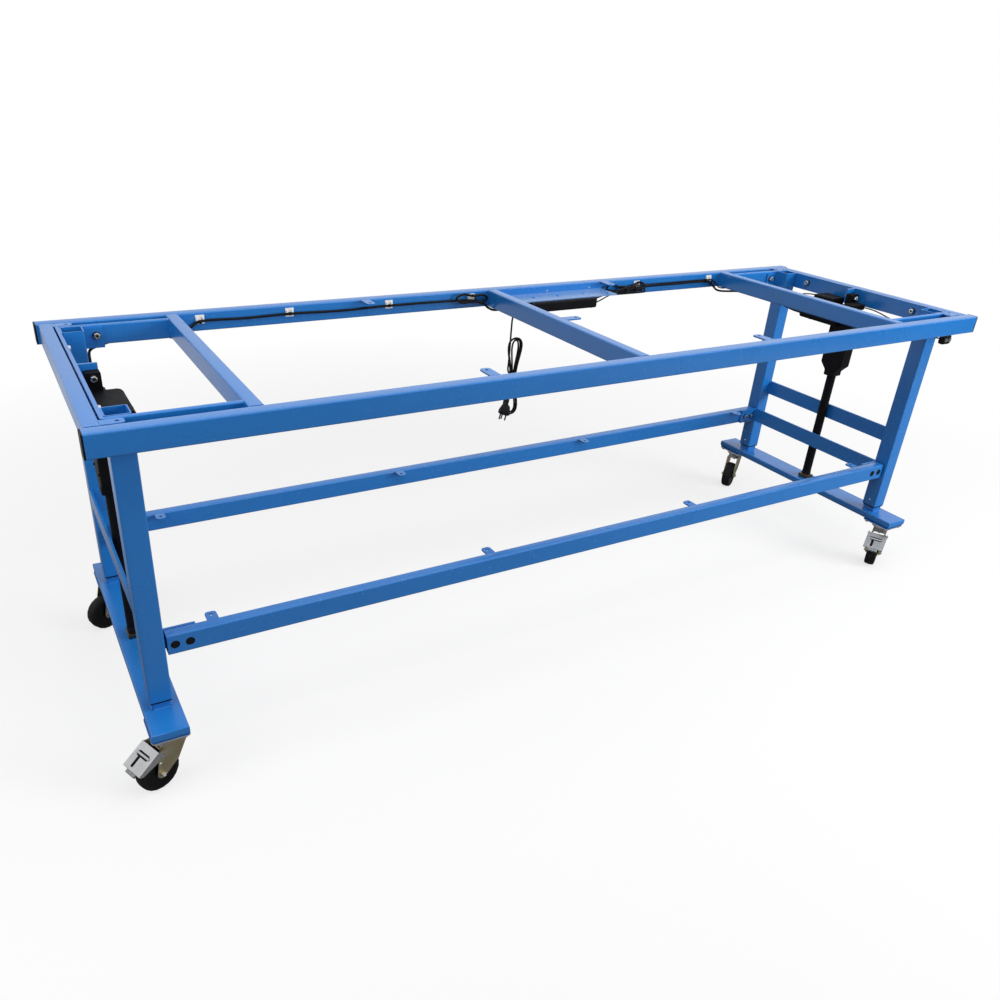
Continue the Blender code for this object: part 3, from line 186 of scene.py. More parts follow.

# Actuators: rod seat, case, motor, wiper ring and the right motor's hood in two parts (place, length, height); the
# black hood partly paints the shadow under the head bar
ROD_SEAT_TOP = 0.1874
CASE_HALF_WIDTH = 0.043
CASE_HALF_DEPTH = 0.023
CASE_SCREW = 0.0075
CASE_SCREW_Y = 0.033
CASE_SCREW_Z = (0.632, 0.734)
CASE_SEAM = (0.0022, 0.0011, 0.108)
CASE_SEAM_Z = 0.684
MOTOR_X = 1.199
MOTOR_Z = 0.782
MOTOR_END = 0.153
MOTOR_SIZE = (0.080, 0.068)
MOTOR_CORNERS = (0.0135, 0.0144)
MOTOR_SEAM_Y = 0.112
MOTOR_SEAM_HALF = 0.0009
MOTOR_SEAM_PROUD = 0.0008
MOTOR_SCREW = 0.0062
MOTOR_SCREW_X = 0.030
MOTOR_SCREW_Z = 0.021
WIPER_RING = ((0.0148, 0.010), (0.0157, 0.009), (0.0160, 0.002), (0.0156, 0.0), (0.0148, 0.0))
HOOD_X = 1.193
HOOD_WIDTH = 0.066
HOOD_BASE = 0.8145
HOOD_PARTS = ((0.0715, 0.079, 0.0240), (-0.036, 0.036, 0.0200))
HOOD_EDGE = 0.005
HOOD_RIB = (0.0462, 0.0026, 0.0016)

# Control box and handset
BOX_X = (0.085, 0.335)
BOX_Y = (0.265, 0.359)
BOX_BASE = 0.8152
BOX_CORNERS = (0.0056, 0.0064)
BOX_SEAM_Z = 0.8392
BOX_SEAM_HALF = 0.0008
BOX_SEAM_PROUD = 0.0009
BOX_SCREW = 0.0068
BOX_SCREW_INSET = 0.012
SEAM_SUNK = 0.001
ARROW_HALF = 0.0028
ARROW_BASE = 0.0018
ARROW_TIP = 0.0027
ARROW_Z = (-0.0002, 0.0005)

# Casters: plate, swivel, fork, pedal and the radii of the wheel's disc and rolled band
CASTER_Y = 0.352
CASTER_PLATE_TOP = 0.1498
CASTER_PLATE_BASE = 0.1465
PLATE_BOLT = 0.0125
PLATE_BOLT_WASHER = 0.0155
PLATE_BOLT_X = 0.031
PLATE_BOLT_Y = 0.0385
PLATE_BOLT_SPIN = 20
SWIVEL_CUP = ((0.0302, 0.006), (0.0318, 0.0055), (0.0322, 0.003), (0.0316, 0.0005), (0.0302, 0.0))
SWIVEL_CUP_Z = 0.1345
KING_NUT = 0.021
KING_WASHER = 0.026
KING_NUT_Z = 0.1209
AXLE_NUT = 0.0125
AXLE_NUT_HEIGHT = 0.0036
AXLE_NUT_OUT = 0.0254
FORK_FACE = 0.0215
FORK_SHOULDER_Z = 0.1238
SPRING_RIVET = ((0, 0.0016), (0.0016, 0.0014), (0.0028, 0.0008), (0.0034, 0), (0.0021, 0), (0.0021, -0.0024),
                (0, -0.0024))
SPRING_RIVETS = ((0.0365, 0.092), (0.039, 0.079))
PEDAL_SLOPE = 33.0
PEDAL_UNDERSIDE = 0.0135
TONGUE_START = 0.0695
LEAF_SIZE = (0.054, 0.050, 0.0014)
LEAF_REACH = 0.036
LEAF_DROP = 0.0012
DISC_EDGE = (0.0375, 0.0390)
ROLLED_BAND = (0.0482, 0.0496)

# Second tints of the metals, and dust and scuffs on paint, sheath and tread
SEAT_BRONZE = (0.105, 0.088, 0.058)
# Black oxide of washers, sockets and bolt ends, partly painted shade round and inside the bolt heads
OXIDE_AND_SHADE = (0.030, 0.030, 0.032)
OXIDE_AND_SHADE_TINT = (0.052, 0.050, 0.048)
OLIVE_TINT = (0.52, 0.46, 0.32)
PEDAL_TINT = (0.47, 0.48, 0.495)
STEEL_TINT = (0.74, 0.74, 0.75)
SCUFF_BLUE = (0.24, 0.42, 0.70)
SCUFF_SHARE = 0.06
DUST_BLUE = (0.30, 0.46, 0.70)
DUST_SHARE = 0.16
SHEATH_DUST = (0.022, 0.022, 0.021)
TREAD_DUST = (0.085, 0.080, 0.074)

# Finishes: the middle range of a noise, gloss levels, and roughness with the grain's stretch or the texture
NOISE_RANGE = (0.3, 0.7)
PAINT_GLOSS = 0.72
SHEATH_GLOSS = 0.18
WHEEL_GLOSS = 0.18
DISC_TO_TREAD = (0.34, 0.62)
SHEATH_ROUGHNESS = 0.46
PLATED = {
    "steel": (0.26, (1.0, 1.0, 0.10)),
    "black_oxide": (0.42, (1.0, 1.0, 1.0)),
    "pedal": (0.30, (1.0, 1.0, 0.30)),
    "fork": (0.34, (1.0, 1.0, 0.15)),
    "rod": (0.20, (1.0, 1.0, 0.10)),
}
MOULDED = {
    "black_plastic": (0.46, 900.0, 0.00008, 0.16),
    "cast_black": (0.58, 520.0, 0.00010, 0.10),
    "grey_plastic": (0.44, 1400.0, 0.00004, 0.5),
    "arrow_grey": (0.50, 1400.0, 0.00002, 0.3),
    "clip_white": (0.48, 1400.0, 0.00004, 0.5),
}
ARROW_SHADE = 2.2
DISC_SHADE = 0.8
COAT_EDGE = 0.0001
TONGUE_ROUGHNESS = 0.5
CROWN_ROUGHNESS = 0.28
PLATE_ROUGHNESS = 0.34
SEAT_ROUGHNESS = 0.40

# Routes of the leads, from end to end
ROUTE_STEPS = 6
LEFT_LEAD = (
    (-1.184, -0.1575, 0.758), (-1.182, -0.176, 0.757), (-1.163, -0.192, 0.754), (-1.149, -0.186, 0.751),
    (-1.1435, -0.168, 0.748), (-1.144, -0.120, 0.744), (-1.160, 0.040, 0.7425), (-1.182, 0.190, 0.7465),
    (-1.187, 0.245, 0.758), (-1.1885, 0.278, 0.778), (-1.1880, 0.293, 0.795), (-1.186, 0.309, 0.8065),
    (-1.179, 0.327, 0.8105), (-1.163, 0.343, 0.8125), (-1.130, 0.350, 0.819), (-1.080, 0.351, 0.831),
    (-1.030, 0.352, 0.832), (-0.995, 0.353, 0.822), (-0.968, 0.353, 0.8135), (-0.944, 0.355, 0.819),
    (-0.922, 0.358, 0.838), (-0.890, 0.3605, 0.850), (-0.780, 0.3605, 0.848), (-0.653, 0.3605, 0.850),
    (-0.500, 0.3605, 0.847), (-0.352, 0.3605, 0.850), (-0.140, 0.3605, 0.849), (-0.076, 0.3605, 0.845),
    (-0.040, 0.3600, 0.839), (-0.023, 0.3580, 0.848), (-0.038, 0.3550, 0.861), (-0.076, 0.3525, 0.861),
    (-0.110, 0.3520, 0.868), (-0.135, 0.3505, 0.857), (-0.115, 0.3470, 0.844), (-0.076, 0.3445, 0.846),
    (-0.045, 0.3435, 0.838), (-0.026, 0.3430, 0.824), (-0.006, 0.3420, 0.8155), (0.020, 0.3380, 0.8165),
    (0.040, 0.3340, 0.823), (0.060, 0.3320, 0.829), (0.070, 0.3320, 0.829), (0.0765, 0.3320, 0.829),
)
RIGHT_LEAD = (
    (0.3435, 0.326, 0.826), (0.350, 0.326, 0.826), (0.362, 0.326, 0.826), (0.410, 0.344, 0.830),
    (0.450, 0.356, 0.834), (0.500, 0.3605, 0.8395), (0.545, 0.3605, 0.8395), (0.580, 0.3605, 0.836),
    (0.604, 0.3600, 0.848), (0.580, 0.3595, 0.861), (0.545, 0.3590, 0.8505), (0.500, 0.3585, 0.8495),
    (0.460, 0.3560, 0.860), (0.435, 0.3520, 0.851), (0.460, 0.3480, 0.841), (0.510, 0.3505, 0.8445),
    (0.570, 0.3515, 0.8455), (0.640, 0.3560, 0.846), (0.720, 0.3605, 0.845), (0.890, 0.3605, 0.845),
    (0.915, 0.3585, 0.833), (0.935, 0.3550, 0.816), (0.955, 0.3530, 0.809), (0.985, 0.3510, 0.806),
    (1.050, 0.3450, 0.802), (1.100, 0.3250, 0.793), (1.140, 0.2950, 0.786), (1.165, 0.2500, 0.772),
    (1.178, 0.2050, 0.761), (1.183, 0.1780, 0.7585), (1.184, 0.1575, 0.758),
)
HANDSET_ROUTE = (
    (0.3435, 0.300, 0.824), (0.350, 0.300, 0.824), (0.362, 0.300, 0.824), (0.430, 0.324, 0.836),
    (0.500, 0.337, 0.850), (0.570, 0.3425, 0.8555), (0.640, 0.352, 0.8535), (0.720, 0.3605, 0.851),
    (0.890, 0.3605, 0.851), (0.920, 0.360, 0.845), (0.938, 0.359, 0.832), (0.949, 0.357, 0.822),
    (0.965, 0.3555, 0.8175), (0.990, 0.354, 0.8165), (1.050, 0.350, 0.8135), (1.120, 0.334, 0.811),
    (1.160, 0.300, 0.808), (1.182, 0.255, 0.806), (1.205, 0.222, 0.809), (1.226, 0.180, 0.818),
    (1.237, 0.100, 0.8205), (1.2388, 0.030, 0.8195), (1.2388, -0.030, 0.8195), (1.233, -0.088, 0.820),
    (1.225, -0.145, 0.813), (1.205, -0.215, 0.806), (1.184, -0.262, 0.801), (1.180, -0.305, 0.799),
    (1.182, -0.345, 0.803), (1.184, -0.3737, 0.806),
)
MAINS_ROUTE = (
    (0.0765, 0.287, 0.831), (0.071, 0.287, 0.831), (0.062, 0.287, 0.831), (0.042, 0.2855, 0.8225),
    (0.0285, 0.283, 0.803), (0.0255, 0.2810, 0.775), (0.0247, 0.2803, 0.735), (0.0245, 0.2801, 0.690),
    (0.0242, 0.2806, 0.660), (0.0226, 0.2790, 0.640),
)

# Spare lead folded into the bundle right of the control box
FOLD_ROUTE = (
    (0.580, 0.340, 0.8382), (0.482, 0.340, 0.8382), (0.474, 0.340, 0.8407), (0.478, 0.340, 0.8447),
    (0.578, 0.340, 0.8447), (0.5875, 0.340, 0.8417), (0.5875, 0.340, 0.8347), (0.578, 0.340, 0.8317),
    (0.464, 0.341, 0.8317),
)
FOLD_DIAMETER = 0.0058

# Hank of the mains lead, with its tail as offsets from the last loop, and the tie round its waist
HANK_CENTRE = (0.036, 0.270, 0.618)
HANK_HALF_HEIGHT = 0.127
HANK_WAIST = 0.0115
HANK_TOP_LOBE = 0.050
HANK_BOTTOM_LOBE = 0.048
HANK_PITCH = 0.0066
HANK_TURNS = 3
HANK_CLIMB = 0.3
HANK_NEST = 0.35
HANK_TAIL = ((-0.0010, -0.0024, -0.014), (-0.0032, -0.0070, -0.030), (-0.0060, -0.0118, -0.048),
             (-0.0085, -0.0147, -0.0573), (-0.0120, -0.0172, -0.064))
HANK_TAIL_STEPS = 5
HANK_POINTS_PER_TURN = 48
HANK_TIE_ROOM = 0.0075
HANK_TIE_THICKNESS = 0.0011
HANK_TIE_LOCK = (0.0050, 0.0062, 0.0058)
HANK_TIE_LOCK_OUT = 0.0028
HANK_TIE_TAIL = (0.0110, 0.0014)
HANK_TIE_TAIL_PLACE = (0.0095, 0.0004, -0.0015)
HANK_TIE_TAIL_TURN = 0.25

# Strain relief at the control box, and rings on the plug's neck and grip
RELIEF_END_X = 0.050
RELIEF_SEARCH = 20
RELIEF_DIAMETER = 0.0118
RELIEF_TAPER = 0.42
RELIEF_GROOVE = 0.86
RING_HALF = 0.0009
NECK_RINGS = 4
NECK_START = 0.003
NECK_STEP = 0.0034
NECK_RADIUS = 0.0044
NECK_GROWTH = 0.0002
NECK_PROUD = 0.0010
NECK_FLAT = 0.0005
GRIP_RADIUS = 0.0183
GRIP_PROUD = 0.0006
GRIP_FLAT = 0.0004
GRIP_RINGS = (0.0405, 0.0440, 0.0475)

# Camera fitted to the photograph's frame of 1000 by 1000
CAMERA_PLACE = (-1.4109, -1.9253, 1.4592)
CAMERA_RIGHT = (0.87347, -0.48447, 0.04839)
CAMERA_UP = (0.19435, 0.43806, 0.87769)
CAMERA_BACK = (-0.44641, -0.75722, 0.47679)
CAMERA_FOCAL = 0.85497
CAMERA_SHIFT = (0.0379, 0.0361)
CAMERA_REACH = 200.0

# Lamps as name, place, target and size
LAMPS = (
    ("overhead", (0.25, -0.5, 3.4), (0.1, 0.0, 0.4), (4.2, 2.6)),
    ("side", (3.0, -3.1, 1.7), (0.5, 0.0, 0.7), (2.2, 1.6)),
    ("fill", (-2.4, -0.5, 1.5), (-1.2, 0.0, 0.4), (1.4, 1.2)),
)

# Floor: its shades, where it turns white for the camera, and where it is bright in reflections
WHITE = (1.0, 1.0, 1.0, 1.0)
FLOOR_HALF = 40.0
FLOOR_DROP = 0.0005
FLOOR_CLOUD = 0.985
FLOOR_BOUNCE = 0.28
FLOOR_ROUGHNESS = 0.9
FLOOR_GLOSS = 0.1
WHITE_REACH = (1.4, 3.0)
WHITE_SHARE = (0.73, 1.0)
MIRROR_DEPTH = (0.5, 1.6)
MIRROR_ACROSS = (-1.2, 0.3)
MIRROR_SHARE = (0.65, 0.10)


class TableFinish(bpy.types.PropertyGroup):
    """Colours and finishes of the table's surfaces."""

    blue: FloatVectorProperty(
        name="Blue paint", description="Powder coat of the steel frame", subtype="COLOR",
        default=(0.014, 0.175, 0.540), min=0, max=1)
    plate: FloatVectorProperty(
        name="Plate paint", description="Paler powder coat of the control plate", subtype="COLOR",
        default=(0.13, 0.27, 0.56), min=0, max=1)
    fork: FloatVectorProperty(
        name="Fork plate", description="Olive passivated zinc of the caster forks", subtype="COLOR",
        default=(0.45, 0.385, 0.24), min=0, max=1)
    pedal: FloatVectorProperty(
        name="Pedal plate", description="Bright zinc of the brake pedals", subtype="COLOR",
        default=(0.54, 0.545, 0.55), min=0, max=1)
    tongue: FloatVectorProperty(
        name="Pedal tongue", description="Grey coat on the tip of a brake pedal", subtype="COLOR",
        default=(0.27, 0.29, 0.30), min=0, max=1)
    steel: FloatVectorProperty(
        name="Steel", description="Bolts, nuts, swivel cups and actuator rods", subtype="COLOR",
        default=(0.70, 0.70, 0.70), min=0, max=1)
    plastic: FloatVectorProperty(
        name="Black plastic", description="Box, handset, caps and actuators", subtype="COLOR",
        default=(0.005, 0.005, 0.006), min=0, max=1)
    rubber: FloatVectorProperty(
        name="Black rubber", description="Wheel treads", subtype="COLOR",
        default=(0.007, 0.007, 0.008), min=0, max=1)
    cable: FloatVectorProperty(
        name="Cable sheath", description="Motor, handset and mains leads", subtype="COLOR",
        default=(0.005, 0.005, 0.006), min=0, max=1)
    grey: FloatVectorProperty(
        name="Grey plastic", description="Buttons of the handset", subtype="COLOR",
        default=(0.10, 0.10, 0.105), min=0, max=1)
    clip: FloatVectorProperty(
        name="Clip white", description="Cable clips on the back rail", subtype="COLOR",
        default=(0.82, 0.81, 0.78), min=0, max=1)
    paint_roughness: FloatProperty(
        name="Paint roughness", description="Gloss of the blue paint", subtype="FACTOR",
        default=0.26, min=0, max=1)
    peel: FloatProperty(
        name="Orange peel", description="Height of the paint's fine waves", unit="LENGTH",
        default=0.00006, min=0, max=0.001, precision=5)


class TableLeads(bpy.types.PropertyGroup):
    """Sizes of the leads and what holds them."""

    motor: FloatProperty(
        name="Motor lead", description="Diameter of each motor's lead", unit="LENGTH",
        default=0.007, min=0.002, max=0.02)
    handset: FloatProperty(
        name="Handset lead", description="Diameter of the handset's lead", unit="LENGTH",
        default=0.004, min=0.002, max=0.02)
    mains: FloatProperty(
        name="Mains lead", description="Diameter of the mains lead", unit="LENGTH",
        default=0.0055, min=0.002, max=0.02)
    clip: FloatProperty(
        name="Clip size", description="Side of a square cable clip", unit="LENGTH",
        default=0.024, min=0.01, max=0.05)
    tie: FloatProperty(
        name="Tie width", description="Width of a cable tie", unit="LENGTH",
        default=0.0036, min=0.001, max=0.01)


class TableFasteners(bpy.types.PropertyGroup):
    """Sizes of bolts, nuts, washers and weld beads."""

    frame_bolt: FloatProperty(
        name="Frame bolt", description="Width across corners of a frame bolt's head", unit="LENGTH",
        default=0.0168, min=0.005, max=0.04)
    frame_washer: FloatProperty(
        name="Frame washer", description="Diameter of a frame bolt's washer", unit="LENGTH",
        default=0.0198, min=0.005, max=0.05)
    beam_nut: FloatProperty(
        name="Beam nut", description="Width across corners of a beam bolt's nut", unit="LENGTH",
        default=0.0138, min=0.005, max=0.04)
    weld: FloatProperty(
        name="Weld bead", description="Radius of a weld bead", unit="LENGTH",
        default=0.0022, min=0.0005, max=0.006)


class TableStage(bpy.types.PropertyGroup):
    """Floor and light of the studio."""

    floor: FloatVectorProperty(
        name="Floor", description="Colour of the pale floor", subtype="COLOR",
        default=(0.90, 0.90, 0.90), min=0, max=1)
    overhead: FloatProperty(
        name="Overhead light", description="Power of the large light above the table", unit="POWER",
        default=88.0, min=0, max=2000)
    side: FloatProperty(
        name="Side light", description="Power of the light at the right of the front", unit="POWER",
        default=150.0, min=0, max=2000)
    fill: FloatProperty(
        name="Fill light", description="Power of the weak light at the left end", unit="POWER",
        default=15.0, min=0, max=2000)
    sky: FloatProperty(
        name="Room light", description="Strength of the even light of the room",
        default=0.115, min=0, max=5)


def finish():
    return bpy.context.scene.table_finish


def leads():
    return bpy.context.scene.table_leads


def fasteners():
    return bpy.context.scene.table_fasteners


def stage():
    return bpy.context.scene.table_stage


# Material nodes


def add(tree, kind, inputs=None, **settings):
    """Add a node, set it up, and link or set its inputs."""
    item = tree.nodes.new(kind)
    for key, value in settings.items():
        setattr(item, key, value)
    for key, value in (inputs or {}).items():
        if isinstance(value, bpy.types.NodeSocket):
            tree.links.new(value, item.inputs[key])
        else:
            item.inputs[key].default_value = value
    return item


def start_material(name):
    material = bpy.data.materials.new(name)
    material.use_nodes = True
    tree = material.node_tree
    return material, tree, tree.nodes["Principled BSDF"]


def wire(tree, shader, colour, roughness, normal):
    """Link a finish's colour, roughness and normal to its shader."""
    for socket, value in (("Base Color", colour), ("Roughness", roughness), ("Normal", normal)):
        tree.links.new(value, shader.inputs[socket])


def place_of(tree):
    return add(tree, "ShaderNodeTexCoord").outputs["Object"]


def noise(tree, place, scale, detail=2.0, roughness=0.5):
    item = add(tree, "ShaderNodeTexNoise",
               {"Vector": place, "Scale": scale, "Detail": detail, "Roughness": roughness})
    return item.outputs["Fac"]


def spread(tree, value, low, high, start=0.0, end=1.0):
    """Map a value from low..high to start..end, held at both ends."""
    item = add(tree, "ShaderNodeMapRange",
               {"Value": value, "From Min": low, "From Max": high, "To Min": start, "To Max": end},
               clamp=True)
    return item.outputs["Result"]


def math_node(tree, operation, first, second):
    return add(tree, "ShaderNodeMath", {0: first, 1: second}, operation=operation).outputs[0]


def times(tree, first, second):
    return math_node(tree, "MULTIPLY", first, second)


def plus(tree, first, second):
    return math_node(tree, "ADD", first, second)


def vector_node(tree, operation, first, second):
    return add(tree, "ShaderNodeVectorMath", {0: first, 1: second}, operation=operation)


def length_of(tree, vector):
    return add(tree, "ShaderNodeVectorMath", {0: vector}, operation="LENGTH").outputs["Value"]


def mix_colour(tree, factor, first, second):
    return add(tree, "ShaderNodeMix", {0: factor, 6: first, 7: second}, data_type="RGBA").outputs[2]


def shade(colour, factor=1.0):
    return (*(min(1.0, part * factor) for part in colour), 1.0)


def bump(tree, height, strength, distance, under=None):
    inputs = {"Height": height, "Strength": strength, "Distance": distance}
    if under is not None:
        inputs["Normal"] = under
    return add(tree, "ShaderNodeBump", inputs).outputs["Normal"]


def powder_coat(name, colour, roughness, peel):
    """Powder coat: fine orange peel, faint clouding, and a few dull scuffs."""
    material, tree, shader = start_material(name)
    place = place_of(tree)
    cloud = noise(tree, place, scale=1.7, detail=3.0)
    scuff = spread(tree, noise(tree, place, scale=46.0, detail=7.0, roughness=0.72), 0.60, 0.74)
    dust = spread(tree, noise(tree, place, scale=420.0), 0.66, 0.78)
    tint = mix_colour(tree, cloud, shade(colour, 0.90), shade(colour, 1.09))
    scuffed = mix_colour(tree, times(tree, scuff, SCUFF_SHARE), tint, shade(SCUFF_BLUE))
    dusted = mix_colour(tree, times(tree, dust, DUST_SHARE), scuffed, shade(DUST_BLUE))
    even = spread(tree, cloud, *NOISE_RANGE, roughness - 0.04, roughness + 0.05)
    waves = bump(tree, noise(tree, place, scale=520.0), strength=0.5, distance=peel)
    wire(tree, shader, dusted, plus(tree, even, times(tree, scuff, 0.14)), waves)
    shader.inputs["Specular IOR Level"].default_value = PAINT_GLOSS
    return material


def plated(name, colour, tint, roughness, stretch):
    """Plated or ground steel: drawn grain, a second tint in clouds, and spots of a brighter skin."""
    material, tree, shader = start_material(name)
    place = place_of(tree)
    drawn = vector_node(tree, "MULTIPLY", place, stretch).outputs[0]
    grain = noise(tree, drawn, scale=620.0, detail=3.0, roughness=0.6)
    cloud = spread(tree, noise(tree, place, scale=34.0, detail=3.0), 0.35, 0.65)
    spots = spread(tree, noise(tree, place, scale=210.0, detail=4.0, roughness=0.65), 0.58, 0.72)
    mixed = mix_colour(tree, cloud, shade(colour), shade(tint))
    skin = mix_colour(tree, times(tree, spots, 0.40), mixed, shade(colour, 1.45))
    even = spread(tree, grain, *NOISE_RANGE, roughness - 0.07, roughness + 0.09)
    scratches = bump(tree, grain, strength=0.35, distance=0.00005)
    wire(tree, shader, skin, plus(tree, even, times(tree, spots, 0.12)), scratches)
    shader.inputs["Metallic"].default_value = 1.0
    return material


def coat_beyond(material, axis, start, colour, roughness, metal=None):
    """Change a finish past a distance along an axis; metal is how metallic it is before and after."""
    tree = material.node_tree
    shader = tree.nodes["Principled BSDF"]
    place = place_of(tree)
    reach = vector_node(tree, "DOT_PRODUCT", place, axis).outputs["Value"]
    past = spread(tree, reach, start - COAT_EDGE, start + COAT_EDGE)
    grain = spread(tree, noise(tree, place, scale=260.0, detail=3.0, roughness=0.6), *NOISE_RANGE)
    over = mix_colour(tree, grain, shade(colour, 0.86), shade(colour, 1.14))
    under = shader.inputs["Base Color"].links[0].from_socket
    tree.links.new(mix_colour(tree, past, under, over), shader.inputs["Base Color"])
    rough = shader.inputs["Roughness"].links[0].from_socket
    kept = times(tree, rough, math_node(tree, "SUBTRACT", 1.0, past))
    tree.links.new(plus(tree, kept, times(tree, past, roughness)), shader.inputs["Roughness"])
    if metal:
        tree.links.new(spread(tree, past, 0.0, 1.0, *metal), shader.inputs["Metallic"])
    return material


def moulded(name, colour, roughness, scale, depth, gloss):
    """Moulded plastic: fine spark texture, with slight wear and handling marks."""
    material, tree, shader = start_material(name)
    place = place_of(tree)
    cells = add(tree, "ShaderNodeTexVoronoi", {"Vector": place, "Scale": scale}).outputs["Distance"]
    cloud = noise(tree, place, scale=22.0, detail=4.0, roughness=0.6)
    marks = spread(tree, noise(tree, place, scale=90.0, detail=6.0, roughness=0.7), 0.60, 0.76)
    tint = mix_colour(tree, cloud, shade(colour, 0.75), shade(colour, 1.35))
    worn = mix_colour(tree, times(tree, marks, 0.25), tint, shade(colour, 2.6))
    even = spread(tree, cloud, *NOISE_RANGE, roughness - 0.05, roughness + 0.06)
    sparks = bump(tree, cells, strength=0.6, distance=depth)
    wire(tree, shader, worn, plus(tree, even, times(tree, marks, -0.08)), sparks)
    shader.inputs["Specular IOR Level"].default_value = gloss
    return material


def sheath(name, colour, roughness):
    """Cable sheath: satin, with fine flow marks and dusty patches."""
    material, tree, shader = start_material(name)
    place = place_of(tree)
    flow = noise(tree, place, scale=260.0, detail=3.0, roughness=0.6)
    dusty = spread(tree, noise(tree, place, scale=30.0, detail=5.0, roughness=0.65), 0.48, 0.75)
    tint = mix_colour(tree, times(tree, dusty, 0.30), shade(colour), shade(SHEATH_DUST))
    even = spread(tree, flow, *NOISE_RANGE, roughness - 0.08, roughness + 0.08)
    wire(tree, shader, tint, even, bump(tree, flow, strength=0.3, distance=0.00008))
    shader.inputs["Specular IOR Level"].default_value = SHEATH_GLOSS
    return material


def wheel_look(name, tread, disc, axle, axis):
    """Wheel: rubber tread with a rolled, dusty band, a moulded disc inside the rim, and turned rings."""
    material, tree, shader = start_material(name)
    place = place_of(tree)
    from_axle = vector_node(tree, "SUBTRACT", place, axle).outputs[0]
    along = vector_node(tree, "DOT_PRODUCT", from_axle, axis).outputs["Value"]
    sideways = add(tree, "ShaderNodeVectorMath", {0: axis, "Scale": along}, operation="SCALE").outputs[0]
    radius = length_of(tree, vector_node(tree, "SUBTRACT", from_axle, sideways).outputs[0])
    on_tread = spread(tree, radius, *DISC_EDGE)
    rolled = spread(tree, radius, *ROLLED_BAND)
    dust = spread(tree, noise(tree, place, scale=140.0, detail=6.0, roughness=0.7), 0.45, 0.72)
    outward = add(tree, "ShaderNodeCombineXYZ", {0: radius}).outputs[0]
    wave = add(tree, "ShaderNodeTexWave", {"Vector": outward, "Scale": 160.0, "Distortion": 0.0})
    rings = wave.outputs["Fac"]
    body = mix_colour(tree, on_tread, disc, tread)
    dusted = mix_colour(tree, times(tree, times(tree, rolled, dust), 0.5), body, shade(TREAD_DUST))
    turned = bump(tree, rings, strength=0.15, distance=0.0002)
    gritty = bump(tree, noise(tree, place, scale=900.0), strength=0.3, distance=0.0001, under=turned)
    wire(tree, shader, dusted, spread(tree, on_tread, 0.0, 1.0, *DISC_TO_TREAD), gritty)
    shader.inputs["Specular IOR Level"].default_value = WHEEL_GLOSS
    return material


# Finishes by name, filled by the operator that makes them
LOOKS = {}


def pedal_axes(brake):
    """Directions of a brake pedal at rest: down its slope, along its pin, and out of its tread."""
    pin = Vector(brake["axis"])
    trail = Vector((-pin.y, pin.x, 0))
    angle = math.radians(PEDAL_SLOPE)
    slope = trail * math.cos(angle) - Vector((0, 0, math.sin(angle)))
    return slope, pin, trail * math.sin(angle) + Vector((0, 0, math.cos(angle)))


# Mesh building


def facing(place, direction, spin=0.0):
    """Matrix that puts a shape made along +Z at a place, along a direction."""
    turn = Vector(direction).to_track_quat("Z", "Y").to_matrix().to_4x4()
    return Matrix.Translation(place) @ turn @ Matrix.Rotation(spin, 4, "Z")


def lathe(shape, profile, steps, matrix):
    """Turn (radius, height) points about the matrix's Z axis; radius 0 closes an end."""
    rings = []
    for radius, height in profile:
        if radius == 0:
            rings.append([shape.verts.new(matrix @ Vector((0, 0, height)))])
            continue
        ring = []
        for step in range(steps):
            angle = 2 * math.pi * step / steps
            point = Vector((radius * math.cos(angle), radius * math.sin(angle), height))
            ring.append(shape.verts.new(matrix @ point))
        rings.append(ring)
    pairs = list(zip(rings, rings[1:]))
    if profile[0][0] > 0:
        pairs.append((rings[-1], rings[0]))
    for upper, lower in pairs:
        for step in range(steps):
            after = (step + 1) % steps
            corners = [upper[step % len(upper)], upper[after % len(upper)],
                       lower[after % len(lower)], lower[step % len(lower)]]
            shape.faces.new(list(dict.fromkeys(corners)))


def block(shape, size, matrix, edge, segments=2):
    """Box about the matrix's origin with rounded edges."""
    made = bmesh.ops.create_cube(shape, size=1.0, matrix=matrix @ Matrix.Diagonal((*size, 1.0)))
    edges = list(dict.fromkeys(line for corner in made["verts"] for line in corner.link_edges))
    bmesh.ops.bevel(shape, geom=edges, offset=edge, offset_type="OFFSET", segments=segments,
                    profile=0.5, affect="EDGES")


def prism(shape, outline, low, high, matrix):
    """Straight prism of a closed outline in the matrix's XY plane."""
    bottom = [shape.verts.new(matrix @ Vector((x, y, low))) for x, y in outline]
    top = [shape.verts.new(matrix @ Vector((x, y, high))) for x, y in outline]
    shape.faces.new(list(reversed(bottom)))
    shape.faces.new(top)
    count = len(outline)
    for index in range(count):
        after = (index + 1) % count
        shape.faces.new((bottom[index], bottom[after], top[after], top[index]))


def round_outline(width, height, radius, steps=4):
    """Rectangle about the origin with round corners."""
    points = []
    for number, (across, up) in enumerate(((1, 1), (-1, 1), (-1, -1), (1, -1))):
        for step in range(steps + 1):
            angle = math.pi / 2 * (number + step / steps)
            points.append((across * (width / 2 - radius) + radius * math.cos(angle),
                           up * (height / 2 - radius) + radius * math.sin(angle)))
    return points


def band(shape, inner, outer, low, high, matrix):
    """Closed band between two outlines of as many points."""
    loops = []
    for outline, height in ((inner, low), (outer, low), (outer, high), (inner, high)):
        loops.append([shape.verts.new(matrix @ Vector((x, y, height))) for x, y in outline])
    count = len(inner)
    for first, second in zip(loops, loops[1:] + loops[:1]):
        for index in range(count):
            after = (index + 1) % count
            shape.faces.new((first[index], first[after], second[after], second[index]))


def seam(shape, width, height, corners, proud, half, matrix):
    """Raised seam round a housing of a rectangular section."""
    band(shape, round_outline(width - SEAM_SUNK, height - SEAM_SUNK, corners[0]),
         round_outline(width + proud, height + proud, corners[1]), -half, half, matrix)


